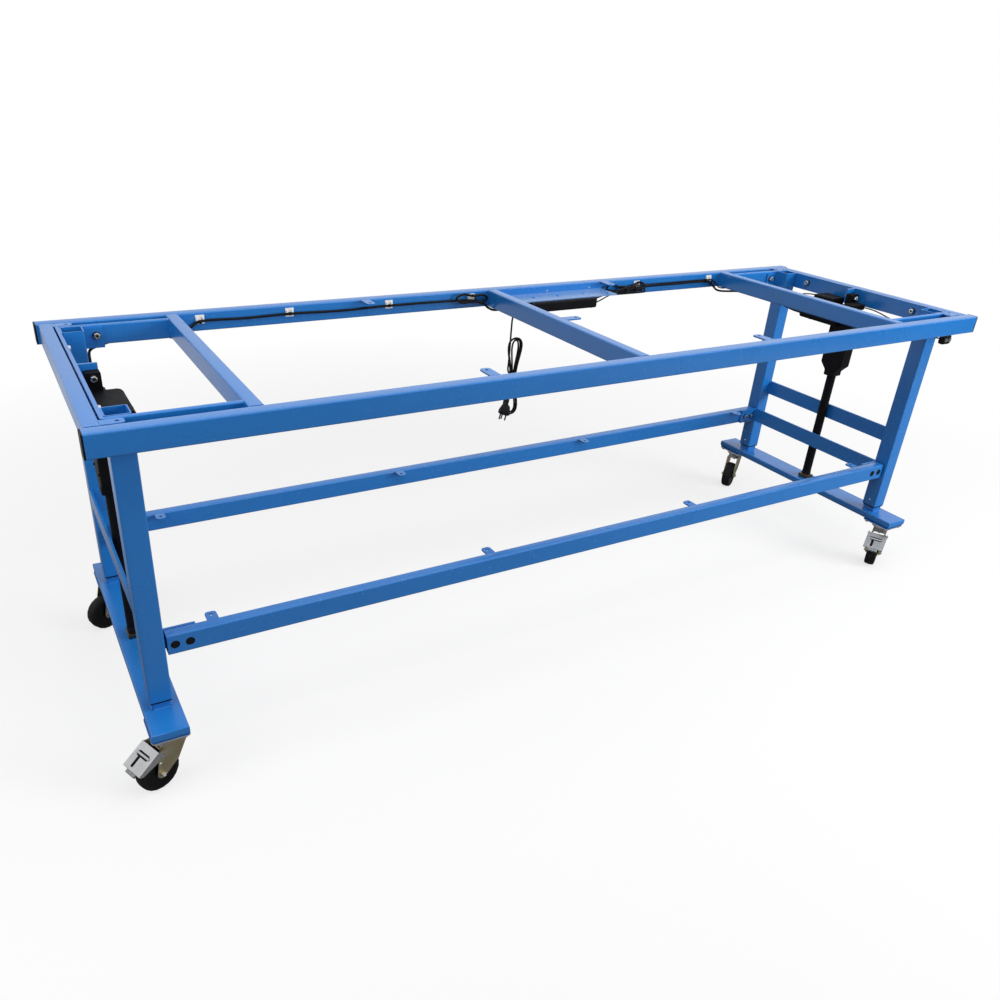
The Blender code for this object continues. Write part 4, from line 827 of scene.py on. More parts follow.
def strap(shape, across, deep, thickness, half, steps, matrix):
    """Flat strap of a tie, closed round a bundle."""
    corner = min(across, deep) * TIE_CORNER
    band(shape, round_outline(across, deep, corner, steps),
         round_outline(across + 2 * thickness, deep + 2 * thickness, corner + thickness, steps),
         -half, half, matrix)


def add_piece(name, data, slot, body, coat):
    """Make an object that rides on a body, in its slot's finish or in a coat of its own."""
    data.materials.append(LOOKS[coat or slot])
    item = bpy.data.objects.new(name, data)
    bpy.context.scene.collection.objects.link(item)
    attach(item, body)
    return item


def make_piece(name, shape, slot, body=BODY, coat=None):
    """Turn a built shape into a smooth shaded piece."""
    bmesh.ops.recalc_face_normals(shape, faces=shape.faces)
    mesh = bpy.data.meshes.new(name)
    shape.to_mesh(mesh)
    shape.free()
    mesh.shade_smooth()
    mesh.set_sharp_from_angle(angle=math.radians(SHARP_ANGLE))
    return add_piece(name, mesh, slot, body, coat)


def tube(name, splines, diameter, slot, body=BODY, rounds=4, ripple=None):
    """Round tubes along lists of points, as one curve piece."""
    curve = bpy.data.curves.new(name, "CURVE")
    curve.dimensions = "3D"
    curve.bevel_depth = diameter / 2
    curve.bevel_resolution = rounds
    curve.use_fill_caps = True
    for points in splines:
        spline = curve.splines.new("POLY")
        spline.points.add(len(points) - 1)
        for number, (point, place) in enumerate(zip(spline.points, points)):
            point.co = (*place, 1)
            if ripple:
                point.radius = ripple[number % len(ripple)]
    return add_piece(name, curve, slot, body, None)


def flat_regions(faces, corners):
    """Join the faces of a mesh into flat regions and return each face's region area."""
    owners = {}
    parent = list(range(len(faces)))

    def root(index):
        while parent[index] != index:
            index = parent[index]
        return index

    for face in faces:
        ring = [corners[index] for index in face.vertices]
        for start, end in zip(ring, ring[1:] + ring[:1]):
            other = owners.setdefault(frozenset((start, end)), face.index)
            if faces[other].normal.dot(face.normal) > FLAT_COSINE:
                parent[root(face.index)] = root(other)
    areas = {}
    for face in faces:
        areas[root(face.index)] = areas.get(root(face.index), 0.0) + face.area
    return [areas[root(face.index)] for face in faces]


def soften(mesh):
    """Smooth a node's normals, weighted by flat area so that flat faces stay flat, with its points kept."""
    faces = mesh.polygons
    corners = [tuple(round(part, 5) for part in vertex.co) for vertex in mesh.vertices]
    areas = flat_regions(faces, corners)
    around = {}
    for face in faces:
        for index in face.vertices:
            around.setdefault(corners[index], []).append(face)
    limit = math.cos(math.radians(SMOOTH_ANGLE))
    normals = []
    for face in faces:
        for index in face.vertices:
            total = Vector()
            for near in around[corners[index]]:
                if near.normal.dot(face.normal) > limit:
                    total += near.normal * areas[near.index]
            normals.append(total.normalized())
    mesh.shade_smooth()
    mesh.normals_split_custom_set(normals)


# Fasteners


def hex_head(shape, across, height, matrix):
    """Hexagon head with a chamfered top and a dished face."""
    radius = across / 2
    face = [(radius * out, height - radius * down) for out, down in HEX_FACE]
    lathe(shape, face + [(radius, 0), (0, 0)], 6, matrix)


def washer(shape, outer, inner, matrix):
    """Washer with a softened rim; returns the matrix of its upper face."""
    thickness = outer * WASHER_THICKNESS
    rim = thickness * WASHER_RIM
    lathe(shape, [(inner / 2, thickness), (outer / 2 - rim, thickness), (outer / 2, thickness - rim),
                  (outer / 2, 0), (inner / 2, 0)], 28, matrix)
    return matrix @ Matrix.Translation((0, 0, thickness))


def bolt(shape, dark, place, direction, across, washer_size, spin):
    """Dark washer with a bright bolt head on it and a dark socket, seated at a place on a face; the dark washer
    and socket partly paint the shade round and inside the head.
    """
    seat = washer(dark, washer_size, across * HEAD_BORE, facing(place, direction, spin))
    height = across * HEAD_HEIGHT
    hex_head(shape, across, height, seat)
    top, edge, base = (height - across * SOCKET_DEPTH + rise for rise in SOCKET_RISE)
    inner, outer = (across * half for half in SOCKET_HALF)
    lathe(dark, [(0, top), (inner, top), (outer, edge), (outer, base), (0, base)], 6, seat)


def nut(shape, dark, place, direction, across, washer_size, spin):
    """Dark washer, bright nut, and the dark end of the bolt through them; the dark washer and bolt end partly
    paint the shade round the nut.
    """
    seat = washer(dark, washer_size, across * NUT_BORE, facing(place, direction, spin))
    height = across * NUT_HEIGHT
    hex_head(shape, across, height, seat)
    stub = across * STUB_HALF
    end = [(stub * out, height + rise) for out, rise in STUB_END]
    lathe(dark, end + [(stub, height / 2), (0, height / 2)], 16, seat)


def pan_screw(shape, place, direction, diameter):
    """Pan head screw with a round recess."""
    radius = diameter / 2
    face = [(radius * out, radius * up) for out, up in PAN_FACE]
    lathe(shape, face, 20, facing(place, direction))


# Leads


def smooth_route(points, steps):
    """Read points from a smooth curve through the route's own points."""
    route = [Vector(point) for point in points]
    route = [2 * route[0] - route[1]] + route + [2 * route[-1] - route[-2]]
    result = []
    for before, start, end, after in zip(route, route[1:], route[2:], route[3:]):
        for step in range(steps):
            part = step / steps
            result.append(0.5 * (2 * start + (end - before) * part
                                 + (2 * before - 5 * start + 4 * end - after) * part ** 2
                                 + (3 * start - before - 3 * end + after) * part ** 3))
    return result + [route[-2]]


def hank_loop(turn):
    """Point and inward normal on the hank's outer loop, at a turn counted from its left waist."""
    angle = 2 * math.pi * turn
    sine, cosine = math.sin(angle), math.cos(angle)
    lobe = HANK_BOTTOM_LOBE if sine > 0 else HANK_TOP_LOBE
    if sine < 0 and int(turn) == HANK_TURNS // 2:
        lobe *= 1 - HANK_NEST
    point = Vector((-cosine * (HANK_WAIST + lobe * sine ** 2), 0, -HANK_HALF_HEIGHT * sine))
    along = Vector((sine * (HANK_WAIST + lobe * sine ** 2) - 2 * lobe * sine * cosine ** 2, 0,
                    -HANK_HALF_HEIGHT * cosine))
    along.normalize()
    return point, Vector((-along.z, 0, along.x))


def smooth_step(value):
    value = min(max(value, 0.0), 1.0)
    return value * value * (3 - 2 * value)


def hank_points(diameter):
    """Loops that spiral in, climb to the front layer along a run, spiral out, and end in a tail."""
    middle = HANK_TURNS / 2
    points = []
    for step in range(HANK_TURNS * HANK_POINTS_PER_TURN + 1):
        turn = step / HANK_POINTS_PER_TURN
        inward = HANK_PITCH * (middle - abs(turn - middle))
        point, normal = hank_loop(turn)
        layer = smooth_step((turn - middle) / HANK_CLIMB + 0.5) - 0.5
        points.append(Vector(HANK_CENTRE) + point + inward * normal - Vector((0, layer * HANK_PITCH, 0)))
    above = points[0] + Vector((0, 0, diameter))
    tail = points[-2:] + [points[-1] + Vector(offset) for offset in HANK_TAIL]
    return [above] + points[:-2] + smooth_route(tail, HANK_TAIL_STEPS)


class TABLE_OT_stage(bpy.types.Operator):
    """Set up the camera, the pale floor and the soft light"""

    bl_idname = "table.stage"
    bl_label = "Stage"

    def execute(self, context):
        scene = context.scene
        scene.view_settings.view_transform = "Standard"
        self.camera(scene)
        self.floor(scene)
        for name, place, target, size in LAMPS:
            lamp = bpy.data.lights.new(name, "AREA")
            lamp.shape = "RECTANGLE"
            lamp.size, lamp.size_y = size
            lamp.energy = getattr(stage(), name)
            item = bpy.data.objects.new(name, lamp)
            item.location = place
            item.rotation_euler = (Vector(target) - Vector(place)).to_track_quat("-Z", "Y").to_euler()
            item.visible_glossy = False
            scene.collection.objects.link(item)
        self.room(scene)
        return {"FINISHED"}

    def camera(self, scene):
        lens = bpy.data.cameras.new("photo_camera")
        lens.sensor_fit = "HORIZONTAL"
        lens.lens = lens.sensor_width * CAMERA_FOCAL
        lens.shift_x, lens.shift_y = CAMERA_SHIFT
        lens.clip_end = CAMERA_REACH
        camera = bpy.data.objects.new("photo_camera", lens)
        axes = Matrix((CAMERA_RIGHT, CAMERA_UP, CAMERA_BACK)).transposed().to_4x4()
        camera.matrix_world = Matrix.Translation(CAMERA_PLACE) @ axes
        scene.collection.objects.link(camera)
        scene.camera = camera

    def floor(self, scene):
        shape = bmesh.new()
        bmesh.ops.create_grid(shape, x_segments=8, y_segments=8, size=FLOOR_HALF)
        mesh = bpy.data.meshes.new("floor")
        shape.to_mesh(mesh)
        shape.free()
        mesh.materials.append(self.pale_floor())
        floor = bpy.data.objects.new("floor", mesh)
        floor.location = (0, 0, -FLOOR_DROP)
        scene.collection.objects.link(floor)

    def pale_floor(self):
        """Pale floor that turns white away from the table and is bright behind it in reflections."""
        material, tree, shader = start_material("pale_floor")
        place = place_of(tree)
        rays = add(tree, "ShaderNodeLightPath").outputs
        seen = rays["Is Camera Ray"]
        tone = stage().floor
        cloud = noise(tree, place, scale=0.8, detail=3.0)
        tint = mix_colour(tree, cloud, shade(tone, FLOOR_CLOUD), shade(tone))
        bounced = mix_colour(tree, seen, shade(tone, FLOOR_BOUNCE), tint)
        tree.links.new(bounced, shader.inputs["Base Color"])
        shader.inputs["Roughness"].default_value = FLOOR_ROUGHNESS
        shader.inputs["Specular IOR Level"].default_value = FLOOR_GLOSS
        parts = add(tree, "ShaderNodeSeparateXYZ", {0: place}).outputs
        behind = times(tree, spread(tree, parts["Y"], *MIRROR_DEPTH),
                       spread(tree, parts["X"], *MIRROR_ACROSS, *MIRROR_SHARE))
        mirrored = times(tree, behind, rays["Is Glossy Ray"])
        shown = times(tree, spread(tree, length_of(tree, place), *WHITE_REACH, *WHITE_SHARE), seen)
        fade = math_node(tree, "MAXIMUM", shown, mirrored)
        white = add(tree, "ShaderNodeEmission", {"Color": WHITE, "Strength": 1.0}).outputs["Emission"]
        self.blend(tree, fade, shader.outputs["BSDF"], white, "Material Output")
        return material

    def room(self, scene):
        """Even light of the room, white where the camera or a reflection sees it."""
        world = bpy.data.worlds.new("room")
        world.use_nodes = True
        tree = world.node_tree
        even = tree.nodes["Background"]
        even.inputs["Color"].default_value = WHITE
        even.inputs["Strength"].default_value = stage().sky
        white = add(tree, "ShaderNodeBackground", {"Color": WHITE, "Strength": 1.0}).outputs["Background"]
        rays = add(tree, "ShaderNodeLightPath").outputs
        mirror = math_node(tree, "MAXIMUM", rays["Is Glossy Ray"], rays["Is Transmission Ray"])
        seen = math_node(tree, "MAXIMUM", rays["Is Camera Ray"], mirror)
        self.blend(tree, seen, even.outputs["Background"], white, "World Output")
        scene.world = world

    def blend(self, tree, factor, first, second, output):
        """Mix two shaders into a tree's output."""
        mixed = add(tree, "ShaderNodeMixShader", {0: factor, 1: first, 2: second})
        tree.links.new(mixed.outputs["Shader"], tree.nodes[output].inputs["Surface"])


class TABLE_OT_finishes(bpy.types.Operator):
    """Give every frame node its procedural finish and smooth normals"""

    bl_idname = "table.finishes"
    bl_label = "Finishes"

    def execute(self, context):
        tones = finish()
        LOOKS["blue_paint"] = powder_coat("blue_paint", tones.blue, tones.paint_roughness, tones.peel)
        LOOKS["steel"] = plated("ground_steel", tones.steel, STEEL_TINT, *PLATED["steel"])
        LOOKS["black_oxide"] = plated("black_oxide", OXIDE_AND_SHADE, OXIDE_AND_SHADE_TINT, *PLATED["black_oxide"])
        LOOKS["black_cable"] = sheath("cable_sheath", tones.cable, SHEATH_ROUGHNESS)
        plastics = {"black_plastic": tones.plastic, "cast_black": tones.plastic, "grey_plastic": tones.grey,
                    "arrow_grey": shade(tones.grey, ARROW_SHADE)[:3], "clip_white": tones.clip}
        for name, colour in plastics.items():
            LOOKS[name] = moulded(name, colour, *MOULDED[name])
        slots = {part["node"]: part["material_slot"] for part in frame["record"]["subparts"]}
        for name, item in frame["nodes"].items():
            material = self.own_look(name) or LOOKS[slots[name]]
            item.data.materials.clear()
            item.data.materials.append(material)
            soften(item.data)
        return {"FINISHED"}

    def own_look(self, name):
        """Finish of a node that differs from its slot's, or None."""
        tones = finish()
        corner, _, kind = name.rpartition("_")
        if kind == "wheel":
            roll = JOINTS[f"{corner}_roll"]
            return wheel_look(f"{name}_rubber", shade(tones.rubber), shade(tones.plastic, DISC_SHADE),
                              roll["pos_m"], roll["axis"])
        if kind == "pedal":
            brake = JOINTS[f"{corner}_brake"]
            slope = pedal_axes(brake)[0]
            tongue = Vector(brake["pos_m"]).dot(slope) + TONGUE_START
            bright = plated(f"{name}_plate", tones.pedal, PEDAL_TINT, *PLATED["pedal"])
            return coat_beyond(bright, slope, tongue, tones.tongue, TONGUE_ROUGHNESS, (1.0, 0.0))
        if kind == "fork":
            olive = plated(f"{name}_plate", tones.fork, OLIVE_TINT, *PLATED["fork"])
            return coat_beyond(olive, (0, 0, 1), FORK_SHOULDER_Z, tones.pedal, CROWN_ROUGHNESS)
        if kind == "plate":
            return powder_coat(f"{name}_paint", tones.plate, tones.paint_roughness, tones.peel)
        if kind == "foot":
            paint = powder_coat(f"{name}_paint", tones.blue, tones.paint_roughness, tones.peel)
            return coat_beyond(paint, (0, 0, -1), -CASTER_PLATE_TOP, tones.steel, PLATE_ROUGHNESS, (0.0, 1.0))
        if kind == "rod":
            ground = plated(f"{name}_steel", tones.steel, STEEL_TINT, *PLATED["rod"])
            return coat_beyond(ground, (0, 0, -1), -ROD_SEAT_TOP, SEAT_BRONZE, SEAT_ROUGHNESS)
        if kind in {"housing", "tube"}:
            return LOOKS["cast_black"]
        return None


class TABLE_OT_mains_lead(bpy.types.Operator):
    """Lay the mains lead from the control box into its tied hank, with the plug at its end"""

    bl_idname = "table.mains_lead"
    bl_label = "Mains Lead"

    def execute(self, context):
        diameter = leads().mains
        loops = hank_points(diameter)
        away = (loops[0] - loops[1]).normalized()
        meeting = loops[0] + away * TOUCH_GAP
        route = MAINS_ROUTE + (meeting + away * diameter, meeting + away * diameter / 2, meeting)
        points = smooth_route(route, ROUTE_STEPS)[:-1] + loops
        cord = tube("mains_lead", [points], diameter, "black_cable")
        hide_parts("mains_cord", "mains_hank")
        ahead = (loops[-1] - loops[-2]).normalized()
        rings = self.plug_rings(facing(loops[-1], ahead))
        self.relief([point for point in points[:RELIEF_SEARCH] if point.x > RELIEF_END_X])
        self.tie()
        return {"FINISHED"}

    def plug_rings(self, matrix):
        """Bend relief rings on the plug's neck, and ridges round its grip."""
        shape = bmesh.new()
        for number in range(NECK_RINGS):
            self.ring(shape, NECK_RADIUS + NECK_GROWTH * number, NECK_PROUD, NECK_START + NECK_STEP * number,
                      NECK_FLAT, 20, matrix)
        for height in GRIP_RINGS:
            self.ring(shape, GRIP_RADIUS, GRIP_PROUD, height, GRIP_FLAT, 36, matrix)
        return make_piece("plug_rings", shape, "black_plastic")

    def ring(self, shape, radius, proud, height, flat, steps, matrix):
        lathe(shape, [(radius, height + RING_HALF), (radius + proud, height + flat),
                      (radius + proud, height - flat), (radius, height - RING_HALF)], steps, matrix)

    def relief(self, points):
        """Tapered, ribbed sleeve on the lead where it leaves the control box."""
        taper = [1.0 - RELIEF_TAPER * step / (len(points) - 1) for step in range(len(points))]
        ribs = [size * (1.0 if step % 2 else RELIEF_GROOVE) for step, size in enumerate(taper)]
        tube("mains_relief", [points], RELIEF_DIAMETER, "black_plastic", ripple=ribs)

    def tie(self):
        """Flat tie round the waist of the hank, with its lock and tail."""
        width = leads().tie
        across, deep = 2 * HANK_WAIST + HANK_TIE_ROOM, HANK_PITCH + HANK_TIE_ROOM
        matrix = Matrix.Translation(HANK_CENTRE)
        shape = bmesh.new()
        strap(shape, across, deep, HANK_TIE_THICKNESS, width, 6, matrix)
        lock = Matrix.Translation((across / 2 + HANK_TIE_LOCK_OUT, 0, 0))
        block(shape, HANK_TIE_LOCK, matrix @ lock, SOFT_EDGE)
        end = Matrix.Translation(Vector(HANK_TIE_TAIL_PLACE) + Vector((across / 2, 0, 0)))
        tail = matrix @ end @ Matrix.Rotation(HANK_TIE_TAIL_TURN, 4, "Y")
        block(shape, (*HANK_TIE_TAIL, width), tail, FINE_EDGE)
        make_piece("hank_tie", shape, "black_plastic")


class TABLE_OT_held_leads(bpy.types.Operator):
    """Lay the motor leads, the handset lead and a folded spare length along the back rail"""

    bl_idname = "table.held_leads"
    bl_label = "Motor and Handset Leads"

    def execute(self, context):
        sizes = leads()
        for node, route, diameter in (("left_motor_lead", LEFT_LEAD, sizes.motor),
                                      ("right_motor_lead", RIGHT_LEAD, sizes.motor),
                                      ("handset_lead", HANDSET_ROUTE, sizes.handset)):
            item = tube(f"{node}_sheath", [smooth_route(route, ROUTE_STEPS)], diameter, "black_cable")
            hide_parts(node)
        tube("lead_fold", [smooth_route(FOLD_ROUTE, ROUTE_STEPS)], FOLD_DIAMETER, "black_cable")
        return {"FINISHED"}


class TABLE_OT_bolts(bpy.types.Operator):
    """Seat the bolts, nuts, washers, screws and rivets of the frame"""

    bl_idname = "table.bolts"
    bl_label = "Bolts and Screws"

    def execute(self, context):
        sizes = fasteners()
        across, ring = sizes.frame_bolt, sizes.frame_washer
        dark = bmesh.new()
        shape = bmesh.new()
        for _, _, sign, way in CORNERS:
            flange = (way * FLANGE_BOLT_X, sign * FLANGE_FACE_Y, TUBE_Z)
            bolt(shape, dark, flange, (0, -sign, 0), across, ring, spin=0.3)
            head_bar = (way * END_RAIL_INNER, sign * HEAD_BAR_BOLT_Y, HEAD_BAR_BOLT_Z)
            bolt(shape, dark, head_bar, (-way, 0, 0), across, ring, spin=0.7)
        make_piece("frame_bolts", shape, "steel")
        across, ring = across * EYE_BOLT, ring * EYE_WASHER
        shape = bmesh.new()
        for way in SIDES.values():
            bolt(shape, dark, (way * LEG_X, -EYE_HALF, EYE_Z), (0, -1, 0), across, ring, spin=0.2)
            nut(shape, dark, (way * LEG_X, BRACKET_FACE_Y, EYE_Z), (0, 1, 0), across, ring, spin=0.5)
        make_piece("eye_bolts", shape, "steel")
        across, ring = sizes.beam_nut, sizes.beam_nut * BEAM_WASHER
        shape = bmesh.new()
        for _, _, sign, way in CORNERS:
            for place in BEAM_BOLT_X:
                seat = (way * place, sign * BEAM_FLANGE_FACE_Y, BEAM_Z)
                nut(shape, dark, seat, (0, -sign, 0), across, ring, spin=place * BEAM_NUT_SPIN)
        make_piece("beam_nuts", shape, "steel")
        # Dark washers, sockets and bolt ends in black oxide, partly painted shade round the bolt heads and nuts
        make_piece("bolt_washers", dark, "steel", coat="black_oxide")
        shape = bmesh.new()
        for place in PLATE_SCREWS:
            pan_screw(shape, (*place, PLATE_TOP), (0, 0, 1), PLATE_SCREW)
        make_piece("plate_screws", shape, "blue_paint")
        shape = bmesh.new()
        for place in RAIL_RIVETS:
            pan_screw(shape, (place, BACK_RAIL_FACE, RAIL_RIVET_Z), (0, -1, 0), RAIL_RIVET)
        make_piece("rail_rivets", shape, "steel")
        return {"FINISHED"}


class TABLE_OT_shade_plugs(bpy.types.Operator):
    """Fit black plugs in the access holes of the beams and the spare holes of the control plate, painting the
    shade inside the holes
    """

    bl_idname = "table.plugs"
    bl_label = "Shade Plugs"

    def execute(self, context):
        shape = bmesh.new()
        for _, _, sign, way in CORNERS:
            for place in BEAM_BOLT_X:
                hole = (way * place, sign * (ACCESS_FACE_Y - ACCESS_SHADE_PLUG_DEPTH), BEAM_Z)
                lathe(shape, ACCESS_SHADE_PLUG, 28, facing(hole, (0, sign, 0)))
        make_piece("access_plugs", shape, "black_plastic")
        shape = bmesh.new()
        # Flat black discs on the plate paint the shade of its spare holes
        for place in PLATE_HOLES:
            lathe(shape, PLATE_SHADE_PLUG, 20, Matrix.Translation((*place, PLATE_TOP)))
        make_piece("plate_plugs", shape, "black_plastic")
        return {"FINISHED"}


class TABLE_OT_welds(bpy.types.Operator):
    """Run rippled weld beads along the frame's inside corners and round the legs on the feet"""

    bl_idname = "table.welds"
    bl_label = "Weld Beads"

    def execute(self, context):
        bead = 2 * fasteners().weld
        lines = []
        for place in (-CROSS_X, 0.0, CROSS_X):
            for way in (-1, 1):
                for sign in FACES.values():
                    lines.append(self.upright(place + way * CROSS_WIDTH / 2, sign * RAIL_INNER, TUBE_Z))
        for _, _, sign, way in CORNERS:
            inner = LEG_X - LEG_SIZE / 2
            lines.append(self.upright(way * inner, sign * FLANGE_FACE_Y, FLANGE_Z))
            lines.append(self.upright(way * inner, sign * BEAM_FLANGE_FACE_Y, BEAM_Z))
            for edge in SIDE_BAR_EDGES:
                lines.append(self.upright(way * (CROSS_X + CROSS_WIDTH / 2), sign * edge, TUBE_Z))
            for bar in ("upper", "lower"):
                low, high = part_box(f"right_{bar}_end_bar")
                inside = low.x if bar == "upper" else high.x
                middle = (low.z + high.z) / 2
                lines.append(self.upright(way * inside, sign * high.y, middle, high.z - low.z))
        tube("frame_welds", lines, bead, "blue_paint", BODY, WELD_ROUNDS, WELD_RIPPLE)
        for side in SIDES:
            lines = []
            for face in FACES:
                low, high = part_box(f"{face}_{side}_inner_leg")
                corners = ((low.x, low.y), (high.x, low.y), (high.x, high.y), (low.x, high.y))
                for start, end in zip(corners, corners[1:] + corners[:1]):
                    lines.append(self.run(Vector((*start, FOOT_TOP)), Vector((*end, FOOT_TOP))))
            tube(f"{side}_foot_welds", lines, bead, "blue_paint", f"{side}_base", WELD_ROUNDS, WELD_RIPPLE)
        return {"FINISHED"}

    def upright(self, across, along, centre, height=TUBE_HEIGHT):
        foot = Vector((across, along, centre - height / 2))
        return self.run(foot, foot + Vector((0, 0, height)))

    def run(self, start, end):
        """Points of a bead between two corners, a little short of both."""
        inset = (end - start).normalized() * WELD_INSET
        start, end = start + inset, end - inset
        count = max(WELD_LEAST, round((end - start).length / WELD_STEP))
        return [start.lerp(end, step / count) for step in range(count + 1)]


class TABLE_OT_leg_guides(bpy.types.Operator):
    """Fit the guide bushes and guide screws at the mouths of the outer legs; the bushes' black lips partly paint
    the shadow line under the outer legs
    """

    bl_idname = "table.leg_guides"
    bl_label = "Leg Guides"

    def execute(self, context):
        for face, side, sign, way in CORNERS:
            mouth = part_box(f"{face}_{side}_outer_leg")[0].z
            matrix = Matrix.Translation((way * LEG_X, sign * LEG_Y, mouth))
            shape = bmesh.new()
            for outer, heights in ((BUSH_LIP, BUSH_LIP_Z), (BUSH_SLEEVE, BUSH_SLEEVE_Z)):
                band(shape, self.square(*BUSH_BORE), self.square(*outer), *heights, matrix)
            make_piece(f"{face}_{side}_guide_bush", shape, "black_plastic")
        shape = bmesh.new()
        for _, _, sign, way in CORNERS:
            place = (way * (LEG_X - LEG_SIZE / 2), sign * LEG_Y, FOOT_TOP + GUIDE_SCREW_LIFT)
            pan_screw(shape, place, (-way, 0, 0), GUIDE_SCREW)
        make_piece("guide_screws", shape, "steel")
        return {"FINISHED"}

    def square(self, size, corner):
        return round_outline(size, size, corner)


class TABLE_OT_clips(bpy.types.Operator):
    """Stick the cable clips to the back rail and tie the leads to them"""

    bl_idname = "table.clips"
    bl_label = "Cable Clips"

    def execute(self, context):
        size, width = leads().clip, leads().tie
        clips = bmesh.new()
        for place in CLIP_X:
            matrix = facing((place, BACK_RAIL_FACE - CLIP_THICKNESS / 2, CLIP_Z), (0, -1, 0))
            block(clips, (size, size, CLIP_THICKNESS), matrix, FINE_EDGE, segments=1)
            for way in (-1, 1):
                saddle = matrix @ Matrix.Translation((way * size * SADDLE_OFFSET, 0, SADDLE_LIFT))
                block(clips, (*(size * share for share in SADDLE_SIZE), SADDLE_HEIGHT), saddle, SOFT_EDGE)
        make_piece("cable_clips", clips, "grey_plastic", coat="clip_white")
        ties = bmesh.new()
        for place, along, height, deep, tall in TIES:
            matrix = Matrix.Translation((place, along, height)) @ Matrix.Rotation(math.pi / 2, 4, "Y")
            strap(ties, tall, deep, TIE_THICKNESS, width / 2, 5, matrix)
            lock = (place, along - deep / 2 - TIE_LOCK_OUT, height + tall * TIE_LOCK_RISE)
            block(ties, TIE_LOCK, Matrix.Translation(lock), SOFT_EDGE)
        make_piece("cable_ties", ties, "black_plastic")
        return {"FINISHED"}


class TABLE_OT_handset_marks(bpy.types.Operator):
    """Raise an arrow on each button of the handset"""

    bl_idname = "table.handset_marks"
    bl_label = "Handset Marks"

    def execute(self, context):
        for name, turn in (("up", 1), ("down", -1)):
            low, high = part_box(f"{name}_button")
            centre = (low + high) / 2
            base, tip = -ARROW_BASE * turn, ARROW_TIP * turn
            arrow = [(-ARROW_HALF, base), (ARROW_HALF, base), (0.0, tip)]
            if turn < 0:
                arrow.reverse()
            shape = bmesh.new()
            prism(shape, arrow, *ARROW_Z, facing((centre.x, low.y, centre.z), (0, -1, 0)))
            make_piece(f"{name}_arrow", shape, "grey_plastic", f"{name}_button", "arrow_grey")
        return {"FINISHED"}


class TABLE_OT_actuator_trim(bpy.types.Operator):
    """Add the wiper rings, case trim and motor trim of the actuators, and the right motor's hood, which partly
    paints the shadow under the head bar
    """

    bl_idname = "table.actuator_trim"
    bl_label = "Actuator Trim"

    def execute(self, context):
        for side, way in SIDES.items():
            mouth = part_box(f"{side}_actuator_tube")[0].z
            shape = bmesh.new()
            lathe(shape, WIPER_RING, 32, Matrix.Translation((way * LEG_X, 0, mouth)))
            make_piece(f"{side}_wiper_ring", shape, "black_plastic")
            self.case(side, way)
            self.motor(side, way)
        self.hood()
        return {"FINISHED"}

    def case(self, side, way):
        """Screws on both faces of an actuator's case, and the seam along its edges."""
        shape = bmesh.new()
        for face in (-1, 1):
            for along in (-CASE_SCREW_Y, CASE_SCREW_Y):
                for height in CASE_SCREW_Z:
                    place = (way * LEG_X + face * CASE_HALF_DEPTH, along, height)
                    pan_screw(shape, place, (face, 0, 0), CASE_SCREW)
            edge = Matrix.Translation((way * LEG_X, face * CASE_HALF_WIDTH, CASE_SEAM_Z))
            block(shape, CASE_SEAM, edge, SEAM_EDGE, segments=1)
        make_piece(f"{side}_case_trim", shape, "black_plastic", coat="cast_black")

    def motor(self, side, way):
        """Seam round a motor's housing, and the screws in its end."""
        shape = bmesh.new()
        joint = facing((way * MOTOR_X, way * MOTOR_SEAM_Y, MOTOR_Z), (0, way, 0))
        seam(shape, *MOTOR_SIZE, MOTOR_CORNERS, MOTOR_SEAM_PROUD, MOTOR_SEAM_HALF, joint)
        for across in (-MOTOR_SCREW_X, MOTOR_SCREW_X):
            for up in (-MOTOR_SCREW_Z, MOTOR_SCREW_Z):
                place = (way * MOTOR_X + across, way * MOTOR_END, MOTOR_Z + up)
                pan_screw(shape, place, (0, way, 0), MOTOR_SCREW)
        make_piece(f"{side}_motor_trim", shape, "black_plastic", coat="cast_black")

    def hood(self):
        """Ribbed cover on top of the right motor, in two parts beside the eye; its black partly paints the shadow
        under the head bar.
        """
        shape = bmesh.new()
        for along, length, height in HOOD_PARTS:
            middle = Matrix.Translation((HOOD_X, along, HOOD_BASE + height / 2))
            block(shape, (HOOD_WIDTH, length, height), middle, HOOD_EDGE, segments=3)
            for step in (-1, 0, 1):
                rib = Matrix.Translation((HOOD_X, along + step * length / 4, HOOD_BASE + height))
                block(shape, HOOD_RIB, rib, THIN_EDGE, segments=1)
        make_piece("right_motor_hood", shape, "black_plastic", coat="cast_black")


class TABLE_OT_box_trim(bpy.types.Operator):
    """Add the lid seam and the cover screws of the control box"""

    bl_idname = "table.box_trim"
    bl_label = "Control Box Trim"

    def execute(self, context):
        shape = bmesh.new()
        lid = Matrix.Translation((sum(BOX_X) / 2, sum(BOX_Y) / 2, BOX_SEAM_Z))
        seam(shape, BOX_X[1] - BOX_X[0], BOX_Y[1] - BOX_Y[0], BOX_CORNERS, BOX_SEAM_PROUD, BOX_SEAM_HALF, lid)
        for across in (BOX_X[0] + BOX_SCREW_INSET, BOX_X[1] - BOX_SCREW_INSET):
            for along in (BOX_Y[0] + BOX_SCREW_INSET, BOX_Y[1] - BOX_SCREW_INSET):
                pan_screw(shape, (across, along, BOX_BASE), (0, 0, -1), BOX_SCREW)
        make_piece("box_trim", shape, "black_plastic")
        return {"FINISHED"}


